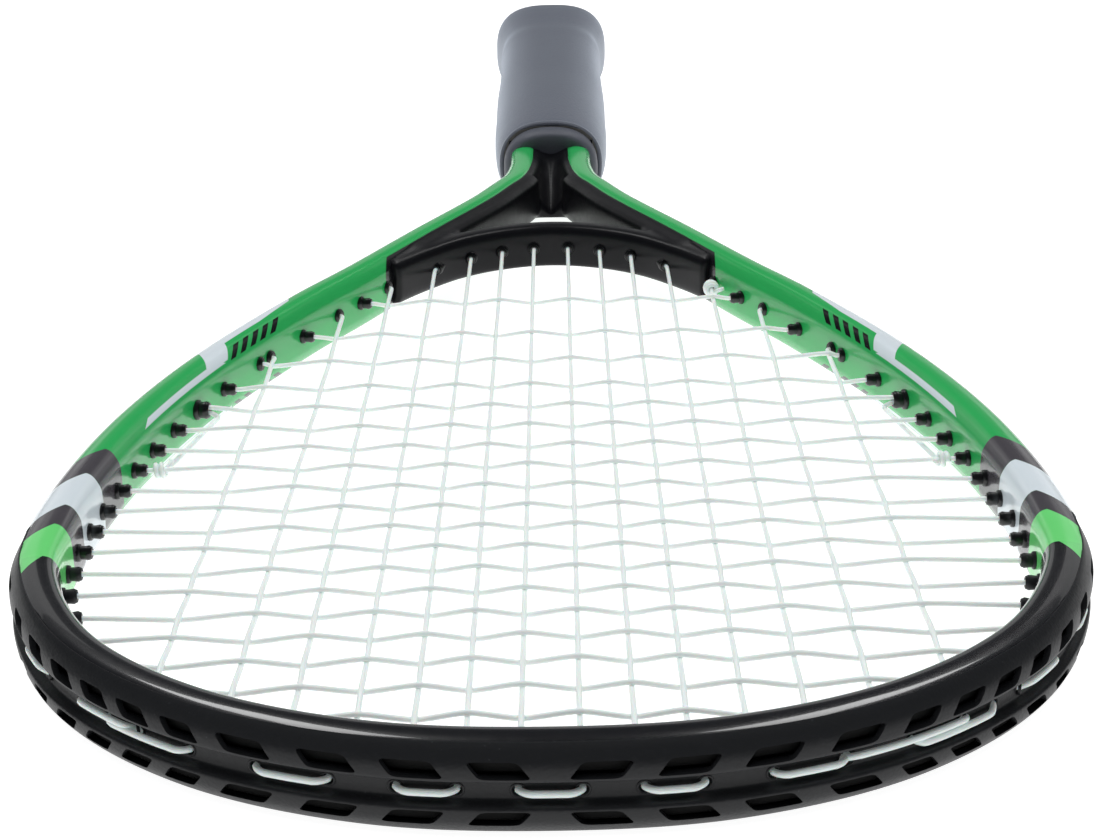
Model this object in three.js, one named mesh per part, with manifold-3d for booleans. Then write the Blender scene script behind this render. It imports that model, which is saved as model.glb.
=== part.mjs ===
// A crossminton racket: a hollow frame with a throat bridge, a bumper guard and grommet strips,
// a woven string bed, and a handle of two shells under a cushioned grip.
// Millimetres. The origin is the middle of the butt's end face. The tip points along -Y,
// the strings lie in the plane Z = 0, and +Z is the upper face.

import * as THREE from 'three';
import { mergeVertices } from 'three/addons/utils/BufferGeometryUtils.js';
import Module from 'manifold-3d';

const wasm = await Module();
wasm.setup();

// Whole racket
const overall_length = 590;
const handle_length = 206;
const clearance = 0.3;
const overrun = 1;

// Frame tube: its centre line, and its section in mm across (outward is plus) and up
const head_half_width = 100.4;
const head_length = 250.6;
const shaft_offset = 9.3;
const shaft_end_inset = 18;
const tube_half_width = 4.5;
const tube_half_height = 8.4;
const tube_wall = 1.2;
const channel_floor = 1.7;
const channel_half_width = 2.9;
const channel_lip = 0.5;
const rebate_depth = 1;
const rebate_drop = 0.7;
const head_line_shares = [
  [0, 0], [0.312, 0.012], [0.611, 0.06], [0.849, 0.145], [0.984, 0.262], [1, 0.36],
  [0.972, 0.502], [0.914, 0.619], [0.815, 0.747], [0.652, 0.903], [0.532, 1],
];
const arm_line_shares = [[0.646, 0.27], [0.274, 0.545], [0.145, 0.662], [0.057, 0.745], [0.008, 0.86]];
const widest_share = 0.36;
const arm_limit_share = 0.08;
const shaft_bend_run = 4;
const arm_bend_share = 0.6;
const tube_outer_shares = [[1, 0.74], [0.68, 0.92], [0.16, 1], [-0.52, 0.94], [-0.94, 0.6], [-1, 0.36]];
const tube_inner_shares = [[0.84, 0.76], [-0.4, 0.98], [-1, 0.5]];
const tip_steps = 10;
const side_steps = 10;
const arm_steps = [2, 6];
const bridge_steps = 16;
const lining_steps = 12;
const rail_steps = 4000;
const solve_steps = 50;

// Throat bridge between the arms
const bridge_half_width = 4;
const bridge_half_height = 6.4;
const bridge_bevel = 1.2;
const bridge_drop_share = 0.3536;
const bridge_sag_share = 0.2921;
const bridge_end_inset = 2.27;
const bridge_line_shares = [[0, 0], [0.305, 0.088], [0.568, 0.293], [0.8, 0.627], [1, 1]];
const throat_wall = 2.2;
const foot_trim = 2.5;
const throat_apex_gap = 21;
const stem_inset = 9;

// Strings
const string_diameter = 1.05;
const weave_height = 1.25;
const string_sides = 5;
const main_place_shares = [0.0498, 0.14243, 0.23207, 0.33167, 0.44323, 0.55777, 0.7002];
const cross_place_shares = [
  0.96768, 0.86193, 0.78292, 0.71229, 0.65842, 0.60814, 0.56065, 0.51556, 0.47127, 0.42857,
  0.38867, 0.34916, 0.31045, 0.27215, 0.23464, 0.19753, 0.16042, 0.12131, 0.0822,
];
const loop_lane = 1.25;
const loop_step = 6;
const loop_gap = 0.45;
const tail_strand_height = 1.9;
const crossing_margin = 1.2;

// Grommets: strips along the outside of the tube, with barrels that reach through it
const strip_thickness = 1;
const strip_half_width = 2.4;
const strip_end_margin = 6;
const barrel_radius = 1.75;
const barrel_reach = 3.1;
const short_barrel_reach = 0.9;
const short_cross_indices = [2, 17];
const flush_cross_indices = [18];
const bore_half_size = 0.88;
const shared_barrel_radius = 2.3;
const shared_bore_half_size = 1.5;
const shared_offset = 0.78;
const barrel_sides = 6;
const main_lean_share = 0;
const cross_lean_share = 0.65;
const bridge_lean_share = 1;
const corner_lean_share = 1.5;
const bridge_barrel_reach = 1.6;
const flush_barrel_reach = 0.3;
const mouth_run = 0.5;
const bore_lift = 0.3;
const hole_overrun = 3;

// Bumper guard round the tip
const bumper_end_share = 0.3352;
const bumper_lip_rise = 0.5;
const bumper_face = 5;
const bumper_shoulder = 0.33;
const bumper_face_share = 0.78;
const slot_height = 2.7;
const slot_centre_height = 4.75;
const slot_slant = 2.1;
const long_slot_length = 8.3;
const short_slot_length = 6.2;
const long_slot_count = 4;
const slot_place_shares = [0.061, 0.161, 0.262, 0.361, 0.45, 0.527, 0.603, 0.681, 0.763, 0.85, 0.937];

// Handle
const pallet_half_width = 16;
const pallet_half_height = 13.6;
const pallet_front_inset = 7.6;
const pallet_step = 1.5;
const shell_split_gap = 0.3;
const grip_thickness = 2.2;
const grip_bulge = 0.9;
const grip_bulge_place = 155;
const grip_waist_place = 65;
const grip_end_thickness = 1.3;
const grip_taper_length = 22;
const grip_front_inset = 8;
const grip_rear_inset = 2.5;
const collar_length = 7.2;
const collar_nose_shares = [[1, 0], [0.99, 0.5], [0.965, 0.85], [0.93, 1]];
const cap_length = 30;
const cap_end_wall = 3;
const cap_flare_shares = [[0.84, 0], [0.96, 0.05], [1, 0.2], [0.98, 0.42], [0.9, 0.7], [0.815, 1]];
const cap_half_width = 20.2;
const cap_half_height = 17;
const door_radius = 9;
const door_thickness = 1.6;
const door_lip = 1.2;
const handle_sides = 16;
const handle_squareness = 3;
const staple_crown = 10;
const staple_wire = 0.7;
const staple_width = 1.3;
const staple_leg = 5;
const staple_place = 14;

// Knots
const knot_turn_count = 2;
const knot_pitch = 1.6;
const knot_radius = 1.5;
const knot_steps = 8;
const knot_stand_off = 4;
const knot_near_off = 2.3;
const tail_gap = 3;

// Colours and finishes
const finishes = {
  frame: { color: 0x35b56a, roughness: 0.25, metalness: 0.1 },
  black: { color: 0x222426, roughness: 0.5, metalness: 0 },
  bumper: { color: 0x35383a, roughness: 0.7, metalness: 0 },
  string: { color: 0xdfe6e4, roughness: 0.4, metalness: 0 },
  shell: { color: 0x55504a, roughness: 0.8, metalness: 0 },
  grip: { color: 0x3f4146, roughness: 0.9, metalness: 0 },
  steel: { color: 0xb4b8bb, roughness: 0.35, metalness: 0.9 },
};

const racket = new THREE.Group();
const x_axis = new THREE.Vector3(1, 0, 0);
const y_axis = new THREE.Vector3(0, 1, 0);

// Adds one named piece to the racket
function addPiece(name, geometry, finish) {
  const mesh = new THREE.Mesh(geometry, new THREE.MeshStandardMaterial(finish));
  mesh.name = name;
  racket.add(mesh);
  return mesh;
}

// Solids: from a geometry to a solid that can be cut, and back
function toSolid(geometry) {
  const bare = geometry.clone();
  bare.deleteAttribute('normal');
  bare.deleteAttribute('uv');
  const merged = mergeVertices(bare, overrun / 10000);
  const vertProperties = new Float32Array(merged.attributes.position.array);
  const triVerts = new Uint32Array(merged.index.array);
  return new wasm.Manifold(new wasm.Mesh({ numProp: 3, vertProperties, triVerts }));
}

function toGeometry(solid) {
  const mesh = solid.getMesh();
  const geometry = new THREE.BufferGeometry();
  geometry.setAttribute('position', new THREE.BufferAttribute(new Float32Array(mesh.vertProperties), 3));
  geometry.setIndex(new THREE.BufferAttribute(new Uint32Array(mesh.triVerts), 1));
  return geometry;
}

// The volume that a closed surface holds, minus when its faces point inwards
function signedVolume(points, faces) {
  const normal = new THREE.Vector3();
  return faces.reduce((sum, [a, b, c]) => sum + normal.crossVectors(points[b], points[c]).dot(points[a]) / 6, 0);
}

function surface(points, faces) {
  const turned = signedVolume(points, faces) < 0 ? faces.map(([a, b, c]) => [a, c, b]) : faces;
  const geometry = new THREE.BufferGeometry().setFromPoints(points);
  geometry.setIndex(turned.flat());
  return geometry;
}

// Side faces between rings of points; every ring has as many points as the first
function sideFaces(rings) {
  const count = rings[0].length;
  const faces = [];
  for (let i = 0; i < rings.length - 1; i += 1) {
    for (let j = 0; j < count; j += 1) {
      const a = i * count + j;
      const b = i * count + ((j + 1) % count);
      faces.push([a, b, b + count], [a, b + count, a + count]);
    }
  }
  return faces;
}

// The faces that close one end of a skin; forward means turned like the ring itself
function capFaces(outline, start, forward) {
  const ring_turn = Math.sign(THREE.ShapeUtils.area(outline));
  return THREE.ShapeUtils.triangulateShape(outline, []).map((corners) => {
    const turn = Math.sign(THREE.ShapeUtils.area(corners.map((k) => outline[k])));
    const [a, b, c] = corners.map((k) => start + k);
    return (turn === ring_turn) === forward ? [a, b, c] : [a, c, b];
  });
}

// A closed body skinned over rings; flat lays an end ring out in two dimensions
function skin(rings, flat) {
  const last = rings.length - 1;
  const faces = [
    ...sideFaces(rings),
    ...capFaces(flat(rings[0], false), 0, false),
    ...capFaces(flat(rings[last], true), last * rings[0].length, true),
  ];
  return surface(rings.flat(), faces);
}

// A rail is a plane curve with points beside it: across is outward, up is +Z
function makeRail(points, outward) {
  const curve = new THREE.CatmullRomCurve3(points.map(([x, y]) => new THREE.Vector3(x, y, 0)));
  curve.arcLengthDivisions = rail_steps;
  const length = curve.getLength();
  const normalAt = (t) => {
    const tangent = curve.getTangentAt(THREE.MathUtils.clamp(t, 0, 1));
    return new THREE.Vector3(tangent.y, -tangent.x, 0).multiplyScalar(outward);
  };
  const tangentAt = (t) => curve.getTangentAt(THREE.MathUtils.clamp(t, 0, 1));
  const at = (t, across, up) => curve.getPointAt(THREE.MathUtils.clamp(t, 0, 1))
    .addScaledVector(normalAt(t), across).add(new THREE.Vector3(0, 0, up));
  return { length, normalAt, tangentAt, at };
}

function span(from, to, steps) {
  return Array.from({ length: steps + 1 }, (_, i) => from + (to - from) * i / steps);
}

// The place along a rail where a measure of its points changes sign
function solveRail(from, to, measure) {
  let [low, high] = [from, to];
  const rising = measure(to) > measure(from);
  for (let i = 0; i < solve_steps; i += 1) {
    const middle = (low + high) / 2;
    if ((measure(middle) > 0) === rising) high = middle;
    else low = middle;
  }
  return (low + high) / 2;
}

// Frame line, from the left shaft's end round the tip to the right shaft's end
const tip_place = overall_length - bumper_face;
const head_points = head_line_shares.map(([x, y]) => [x * head_half_width, y * head_length - tip_place]);
const arm_top_place = tip_place - head_length;
const throat_length = arm_top_place - handle_length;
const arm_half_spread = head_points[head_points.length - 1][0];
const arm_points = arm_line_shares.map(([x, y]) => [
  shaft_offset + x * (arm_half_spread - shaft_offset),
  y * throat_length - arm_top_place,
]);
const shaft_points = [
  [shaft_offset, throat_length - arm_top_place - shaft_bend_run],
  [shaft_offset, (throat_length - arm_top_place - shaft_end_inset) / 2],
  [shaft_offset, -shaft_end_inset],
];
const half_line = [...head_points, ...arm_points, ...shaft_points];
const mirrored = half_line.slice(1).reverse().map(([x, y]) => [-x, y]);
const frame_rail = makeRail([...mirrored, ...half_line], 1);
const tip_share = 0.5;
const yAlong = (t) => frame_rail.at(t, 0, 0).y;
const bumper_end_place = tip_place - bumper_end_share * head_length;
const bumper_t = solveRail(tip_share, 1, (t) => yAlong(t) + bumper_end_place);
const step_t = clearance / frame_rail.length;

// Tube section at a place along the frame; the outer side steps in under the bumper guard
function rebateAt(t) {
  return Math.abs(t - tip_share) < bumper_t - tip_share ? rebate_depth : 0;
}

function tubeOutline(t) {
  const rebate = rebateAt(t);
  const lip_height = channel_half_width + channel_lip;
  const half = [
    [channel_floor, channel_half_width],
    [tube_half_width - rebate, lip_height],
    ...tube_outer_shares.map(([across, up], i) => [
      across * tube_half_width - (across > 0 ? rebate : 0),
      up * tube_half_height - (rebate > 0 && across > 0 && i > 0 ? rebate_drop : 0),
    ]),
  ];
  return [...half, ...half.slice().reverse().map(([across, up]) => [across, -up])];
}

function tubeHollow() {
  const wide = tube_half_width - tube_wall;
  const high = tube_half_height - tube_wall;
  const half = tube_inner_shares.map(([across, up]) => [
    across * wide - (across > 0 ? rebate_depth / 2 : 0),
    up * high,
  ]);
  const throat = [channel_floor - tube_wall, channel_half_width + channel_lip];
  const closed = [throat, ...half];
  return [...closed, ...closed.slice().reverse().map(([across, up]) => [across, -up])];
}

const flatSection = (t, rail) => (ring) => ring.map((point) => {
  const base = rail.at(t, 0, 0);
  return new THREE.Vector2(point.clone().sub(base).dot(rail.normalAt(t)), point.z);
});

function railRing(rail, t, section) {
  return section.map(([across, up]) => rail.at(t, across, up));
}

// Stations along the frame: few on the straight shafts, more round the head
const handle_end_t = solveRail(tip_share, 1, (t) => yAlong(t) + handle_length);
const arm_t = solveRail(tip_share, handle_end_t, (t) => yAlong(t) + arm_top_place);
const bend_t = arm_t + (handle_end_t - arm_t) * arm_bend_share;
const mirror_t = (t) => 1 - t;
const right_tip_stations = span(tip_share, bumper_t - step_t, tip_steps);
const tip_stations = [...right_tip_stations.slice(1).reverse().map(mirror_t), ...right_tip_stations];
const side_stations = [
  ...span(bumper_t + step_t, arm_t, side_steps),
  ...span(arm_t, bend_t, arm_steps[0]).slice(1),
  ...span(bend_t, handle_end_t, arm_steps[1]).slice(1),
];
const frame_stations = [
  0, ...side_stations.slice().reverse().map(mirror_t), ...tip_stations, ...side_stations, 1,
];

function makeFrame(cuts) {
  const rings = frame_stations.map((t) => railRing(frame_rail, t, tubeOutline(t)));
  const bare = frame_stations.map((t) => railRing(frame_rail, t, tubeHollow()));
  const beyond = (ring) => ring.map((point) => point.clone().addScaledVector(y_axis, overrun));
  const hollow = [beyond(bare[0]), ...bare, beyond(bare[bare.length - 1])];
  const flat = (ring, last) => flatSection(last ? 1 : 0, frame_rail)(ring);
  const tube = toSolid(skin(rings, flat)).subtract(toSolid(skin(hollow, flat)));
  return cuts.reduce((solid, cut) => solid.subtract(cut), tube);
}

// Bridge line, from the left foot to the right foot; its ends lie just inside the arms' lines
const bridge_rise = arm_top_place - bridge_drop_share * throat_length;
const bridge_sag = bridge_sag_share * throat_length;
const bridge_end_t = solveRail(tip_share, handle_end_t, (t) => yAlong(t) + bridge_rise + bridge_sag);
const bridge_half_span = frame_rail.at(bridge_end_t, 0, 0).x - bridge_end_inset;
const bridge_half = bridge_line_shares.map(([x, y]) => [x * bridge_half_span, -bridge_rise - y * bridge_sag]);
const bridge_rail = makeRail(
  [...bridge_half.slice(1).reverse().map(([x, y]) => [-x, y]), ...bridge_half],
  -1,
);

const bridge_stations = span(0, 1, bridge_steps);

// A flat-sided block over a plan outline, as high above the string plane as below it
function prism(points, half_height) {
  const outline = new THREE.Shape(points.map((p) => new THREE.Vector2(p.x, p.y)));
  const geometry = new THREE.ExtrudeGeometry(outline, { depth: 2 * half_height, bevelEnabled: false });
  geometry.translate(0, 0, -half_height);
  return toSolid(geometry);
}

const mirrorPoint = (p) => new THREE.Vector3(-p.x, p.y, p.z);
const bothSides = (right) => [...right, ...right.slice().reverse().map(mirrorPoint)];

function alongBridge(section) {
  const rings = bridge_stations.map((t) => railRing(bridge_rail, t, section));
  return toSolid(skin(rings, (ring, last) => flatSection(last ? 1 : 0, bridge_rail)(ring)));
}

function bridgeBody() {
  const [wide, high, bevel] = [bridge_half_width, bridge_half_height, bridge_bevel];
  return alongBridge([
    [wide - bevel, -high], [wide, bevel - high], [wide, high - bevel], [wide - bevel, high],
    [bevel - wide, high], [-wide, high - bevel], [-wide, bevel - high], [bevel - wide, -high],
  ]);
}

// The room that the throat strip and its string loops take up behind the bridge
function stripRoom() {
  const [wide, high] = [bridge_half_width, strip_half_width + clearance];
  const deep = wide + strip_thickness + string_diameter + 4 * clearance;
  return alongBridge([[wide, -high], [deep, -high], [deep, high], [wide, high]]);
}

const throat_seat = -tube_half_width - clearance;
const foot_place = bridge_rise + bridge_sag - foot_trim;
const stem_t = solveRail(arm_t, 1, (t) => yAlong(t) + handle_length - stem_inset);
const apex_t = solveRail(arm_t, 1, (t) => yAlong(t) + handle_length + throat_apex_gap);
const foot_t = solveRail(arm_t, stem_t, (t) => frame_rail.at(t, throat_seat, 0).y + foot_place);

// The plan of the space between the arms, as far in from the tube's inner face as asked
function betweenArms(end_t, inset) {
  return bothSides(span(foot_t, end_t, lining_steps).map((t) => frame_rail.at(t, throat_seat - inset, 0)));
}

function makeThroatBridge(cuts) {
  const under = bridge_stations.map((t) => bridge_rail.at(t, -bridge_half_width / 2, 0));
  const below = [bridge_half_span, -bridge_half_span].map((x) => new THREE.Vector3(x, -arm_top_place, 0));
  const between_arms = betweenArms(stem_t, 0);
  const lining = prism(between_arms, bridge_half_height - bridge_bevel / 2)
    .subtract(prism(betweenArms(apex_t, throat_wall), tube_half_height))
    .subtract(prism([...under, ...below], tube_half_height))
    .subtract(stripRoom());
  const bridge = bridgeBody().intersect(prism(between_arms, tube_half_height));
  return cuts.reduce((solid, cut) => solid.subtract(cut), bridge.add(lining));
}

// String ends: each has a rail, a place on it, and the axis of its grommet barrel, which leans
// from the rail's normal towards the string
function barrelAxis(rail, t, along, lean_share) {
  return rail.normalAt(t).multiplyScalar(1 - lean_share).addScaledVector(along, lean_share).normalize();
}

// How far along the axis a surface lies that is so far across from the rail
function alongFor(rail, t, axis, across) {
  return across / axis.dot(rail.normalAt(t));
}

// The place on the rail that a point lies beside
function besidePlace(rail, t, point) {
  const window = 3 * tube_half_width / rail.length;
  return solveRail(t - window, t + window, (place) => (
    rail.at(place, 0, 0).sub(point).dot(rail.tangentAt(place))));
}

// How far across from the rail a point is, measured square to the rail
function acrossOf(rail, t, point) {
  return rail.at(besidePlace(rail, t, point), 0, 0).distanceTo(point);
}

function makeEnd({ rail, along, lean_share, reach, from, to, offBy }) {
  const on_bridge = rail === bridge_rail;
  const half_width = on_bridge ? bridge_half_width : tube_half_width;
  const floor = on_bridge ? bridge_floor : string_floor;
  const axisAt = (t) => barrelAxis(rail, t, along, lean_share);
  const innerAt = (t) => -alongFor(rail, t, axisAt(t), half_width) - reach;
  const mouthAt = (t) => rail.at(t, 0, 0).addScaledVector(axisAt(t), innerAt(t) - mouth_run);
  const t = solveRail(from, to, (place) => offBy(mouthAt(place)));
  const [centre, axis] = [rail.at(t, 0, 0), axisAt(t)];
  const alongAt = (distance) => centre.clone().addScaledVector(axis, distance);
  const outer = solveRail(0, 2 * floor, (distance) => acrossOf(rail, t, alongAt(distance)) - floor);
  const outer_t = besidePlace(rail, t, alongAt(outer));
  return { rail, t, outer, outer_t, inner: innerAt(t), reach, axis, centre, tip: mouthAt(t) };
}

const main_half_places = main_place_shares.map((share) => share * head_half_width);
const cross_places = cross_place_shares.map((share) => tip_place - share * head_length);
const widest_t = solveRail(tip_share, 1, (t) => yAlong(t) + tip_place - head_length * widest_share);
const arm_limit_t = solveRail(tip_share, 1, (t) => yAlong(t) + arm_top_place - head_length * arm_limit_share);
const string_floor = channel_floor + clearance + strip_thickness + loop_gap + string_diameter / 2;
const bridge_floor = bridge_half_width + clearance + strip_thickness + loop_gap + string_diameter / 2;

function mainEnd(x, at_tip) {
  const side = Math.sign(x);
  const along = y_axis.clone().multiplyScalar(at_tip ? -1 : 1);
  const offBy = (point) => side * (point.x - x);
  const place = (t) => (side > 0 ? t : mirror_t(t));
  const outermost = Math.abs(x) > main_half_places[4] + clearance;
  const reach = outermost || !at_tip ? short_barrel_reach : barrel_reach;
  const shared_facts = { along, offBy, reach };
  const on_bridge = !at_tip && Math.abs(x) < main_half_places[4] - clearance;
  if (on_bridge) {
    shared_facts.reach = bridge_barrel_reach;
    const in_corner = Math.abs(x) > main_half_places[2] + clearance;
    const lean_share = in_corner ? corner_lean_share : bridge_lean_share;
    return makeEnd({ rail: bridge_rail, lean_share, from: 0, to: 1, ...shared_facts });
  }
  const [from, to] = at_tip ? [place(tip_share), place(widest_t)] : [place(arm_limit_t), place(widest_t)];
  return makeEnd({ rail: frame_rail, lean_share: main_lean_share, from, to, ...shared_facts });
}

function crossEnd(y, side, reach) {
  const along = x_axis.clone().multiplyScalar(side);
  const place = (t) => (side > 0 ? t : mirror_t(t));
  const offBy = (point) => point.y - y;
  const [from, to] = [place(tip_share), place(arm_limit_t)];
  return makeEnd({ rail: frame_rail, along, lean_share: cross_lean_share, reach, from, to, offBy });
}

// The main strings are counted from the left, the cross strings from the throat
const main_x = [...main_half_places.slice().reverse().map((x) => -x), ...main_half_places];
const cross_y = cross_places.map((y) => -y);
const mains = main_x.map((x) => ({ x, tip: mainEnd(x, true), throat: mainEnd(x, false) }));
const crosses = cross_y.map((y, k) => {
  const short_reach = flush_cross_indices.includes(k) ? flush_barrel_reach : short_barrel_reach;
  const reach = [...short_cross_indices, ...flush_cross_indices].includes(k) ? short_reach : barrel_reach;
  return { y, left: crossEnd(y, -1, reach), right: crossEnd(y, 1, reach) };
});

// Two strings share the fifth side grommets and one at the tip
const tail_in_index = 4;
const tail_out_index = 7;
const knot_main_index = 11;
crosses[tail_in_index].left.shared = 'high';
crosses[tail_in_index].right.shared = 'high';
mains[knot_main_index].tip.shared = 'wide';

// The line of a string through a grommet, from the inside to the lane outside; a string that
// shares the grommet keeps to its side
function throughEnd(end, side) {
  const shift = new THREE.Vector3();
  if (end.shared === 'high') shift.z = side * shared_offset;
  if (end.shared === 'wide') shift.set(end.axis.y, -end.axis.x, 0).multiplyScalar(side * shared_offset);
  const inner = end.tip.clone().add(shift);
  const outer = end.centre.clone().addScaledVector(end.axis, end.outer).add(shift);
  return { inner, outer };
}

// A loop along the outside of the frame from one grommet to another, in its lane
function outsideLoop(from, to, lane) {
  const { rail } = from;
  const floor = rail === bridge_rail ? bridge_floor : string_floor;
  const run = Math.abs(to.outer_t - from.outer_t) * rail.length;
  const inset = string_diameter / run;
  const steps = Math.max(1, Math.round(run / loop_step));
  const places = span(inset, 1 - inset, steps).map((k) => from.outer_t + (to.outer_t - from.outer_t) * k);
  return places.map((t) => rail.at(t, floor, lane));
}

// A closed tube along points; each ring stands on the bisector of its two runs
function tubeAlong(points, radius, sides) {
  const rings = points.map((point, i) => {
    const before = points[Math.max(i - 1, 0)];
    const after = points[Math.min(i + 1, points.length - 1)];
    const back = i === 0 ? after.clone().sub(point).normalize() : point.clone().sub(before).normalize();
    const ahead = i === points.length - 1 ? back : after.clone().sub(point).normalize();
    return { point, back, ahead, tangent: back.clone().add(ahead).normalize() };
  });
  let side = new THREE.Vector3(0, 0, 1);
  const circle = rings.map(({ point, back, tangent }) => {
    side = side.clone().addScaledVector(back, -side.dot(back)).normalize();
    const other = new THREE.Vector3().crossVectors(back, side);
    return span(0, sides - 1, sides - 1).map((k) => {
      const angle = (k + 1 / 2) * 2 * Math.PI / sides;
      const spoke = side.clone().multiplyScalar(Math.cos(angle) * radius)
        .addScaledVector(other, Math.sin(angle) * radius);
      const slide = -spoke.dot(tangent) / back.dot(tangent);
      return point.clone().add(spoke).addScaledVector(back, slide);
    });
  });
  const flat = (ring) => {
    const centre = ring.reduce((sum, p) => sum.add(p), new THREE.Vector3()).divideScalar(ring.length);
    const u = ring[0].clone().sub(centre).normalize();
    const v = new THREE.Vector3().crossVectors(u, ring[1].clone().sub(centre)).cross(u).normalize();
    return ring.map((p) => new THREE.Vector2(p.clone().sub(centre).dot(u), p.clone().sub(centre).dot(v)));
  };
  return skin(circle, flat);
}

// Main strings: one unbroken length, from the left tail round all fourteen to the right tail
function tailPoints(side, key) {
  const knot = crosses[tail_out_index][key].tip.clone().addScaledVector(x_axis, -side * knot_near_off);
  const near = throughEnd(crosses[tail_in_index][key], -1);
  const strand = [knot.clone().addScaledVector(y_axis, tail_gap), near.inner.clone()];
  strand[1].addScaledVector(x_axis, -side * tail_gap);
  return [...strand.map((p) => p.setZ(-tail_strand_height)), near.inner, near.outer];
}

function mainPoints() {
  const path = tailPoints(-1, 'left');
  path.push(...outsideLoop(crosses[tail_in_index].left, mains[0].throat, -loop_lane));
  mains.forEach((main, i) => {
    const down = i % 2 === 0;
    const [first, last] = down ? [main.throat, main.tip] : [main.tip, main.throat];
    const [enter, leave] = [throughEnd(first, 1), throughEnd(last, 1)];
    path.push(enter.outer, enter.inner, leave.inner, leave.outer);
    const next = mains[i + 1];
    if (next) path.push(...outsideLoop(last, down ? next.tip : next.throat, -loop_lane));
  });
  path.push(...outsideLoop(mains[mains.length - 1].throat, crosses[tail_in_index].right, -loop_lane));
  path.push(...tailPoints(1, 'right').reverse());
  return path;
}

// The places where one cross string passes over and under the main strings, from the left
function crossingsOf(k, from_x, to_x) {
  const heights = main_x.map((x, i) => ((i + k) % 2 === 0 ? -weave_height : weave_height));
  const points = main_x.map((x, i) => new THREE.Vector3(x, cross_y[k], heights[i]));
  return points.filter(({ x }) => x > from_x + crossing_margin && x < to_x - crossing_margin);
}

const liftTo = (crossing) => Math.sign(crossing.z) * bore_lift;

// Cross strings: one unbroken length, over and under the mains from the tip to the throat
function crossPoints() {
  const start = throughEnd(mains[knot_main_index].tip, -1);
  const last_cross = crosses[crosses.length - 1];
  const path = [start.inner, start.outer];
  path.push(...outsideLoop(mains[knot_main_index].tip, last_cross.right, loop_lane));
  for (let k = crosses.length - 1; k >= 0; k -= 1) {
    const leftward = (crosses.length - 1 - k) % 2 === 0;
    const { left, right } = crosses[k];
    const [first, last] = leftward ? [right, left] : [left, right];
    const [enter, leave] = [throughEnd(first, 1), throughEnd(last, 1)];
    const crossings = crossingsOf(k, left.tip.x, right.tip.x);
    if (leftward) crossings.reverse();
    if (!first.shared) enter.inner.z = liftTo(crossings[0]);
    if (!last.shared) leave.inner.z = liftTo(crossings[crossings.length - 1]);
    path.push(enter.outer, enter.inner, ...crossings, leave.inner, leave.outer);
    if (k > 0) path.push(...outsideLoop(last, leftward ? crosses[k - 1].left : crosses[k - 1].right, loop_lane));
  }
  const end = crosses[0].left;
  const run = strip_end_margin / frame_rail.length;
  const places = [end.outer_t - run / 3, end.outer_t - run];
  path.push(...places.map((t) => frame_rail.at(t, string_floor, loop_lane)));
  return path;
}

// The least gap between parts of one string that aren't next to each other
function leastGap(points, diameter) {
  const samples = [];
  let travelled = 0;
  points.forEach((point, i) => {
    if (i === 0) return;
    const run = point.distanceTo(points[i - 1]);
    const steps = Math.max(1, Math.ceil(run / diameter));
    for (let k = 1; k <= steps; k += 1) {
      samples.push({ at: points[i - 1].clone().lerp(point, k / steps), travelled: travelled + run * k / steps });
    }
    travelled += run;
  });
  let least = Infinity;
  let least_at = null;
  samples.forEach((a, i) => {
    for (let j = i + 1; j < samples.length; j += 1) {
      const b = samples[j];
      const gap = a.at.distanceTo(b.at) - diameter;
      if (b.travelled - a.travelled > diameter * 4 && gap < least) [least, least_at] = [gap, a.at];
    }
  });
  const [x, y, z] = least_at.toArray().map(Math.round);
  return `${least.toFixed(2)} mm, near ${x}, ${y}, ${z}`;
}

// Grommet barrels, and the square bores and holes that go with them, along each end's axis
function placeAlong(end, geometry, from, to) {
  geometry.rotateZ(Math.atan2(end.axis.y, end.axis.x));
  const middle = end.centre.clone().addScaledVector(end.axis, (from + to) / 2);
  geometry.translate(middle.x, middle.y, middle.z);
  return toSolid(geometry);
}

function squareAlong(end, half_wide, half_high, from, to) {
  return placeAlong(end, new THREE.BoxGeometry(to - from, 2 * half_wide, 2 * half_high), from, to);
}

const barrelRadius = (end) => (end.shared ? shared_barrel_radius : barrel_radius);

function barrel(end) {
  const [from, to] = [end.inner, end.outer - loop_gap - string_diameter / 2 - strip_thickness / 2];
  const geometry = new THREE.CylinderGeometry(barrelRadius(end), barrelRadius(end), to - from, barrel_sides, 1);
  geometry.rotateZ(Math.PI / 2);
  return placeAlong(end, geometry, from, to);
}

function bore(end) {
  const half_wide = end.shared === 'wide' ? shared_bore_half_size : bore_half_size;
  const half_high = end.shared === 'high' ? shared_bore_half_size : bore_half_size;
  return squareAlong(end, half_wide, half_high, end.inner - overrun, end.outer + overrun);
}

function hole(end) {
  const half_size = barrelRadius(end) + clearance;
  return squareAlong(end, half_size, half_size, end.inner - hole_overrun, end.outer);
}

function withBarrels(body, ends) {
  const joined = ends.reduce((solid, end) => solid.add(barrel(end)), body);
  return ends.reduce((solid, end) => solid.subtract(bore(end)), joined);
}

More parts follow.
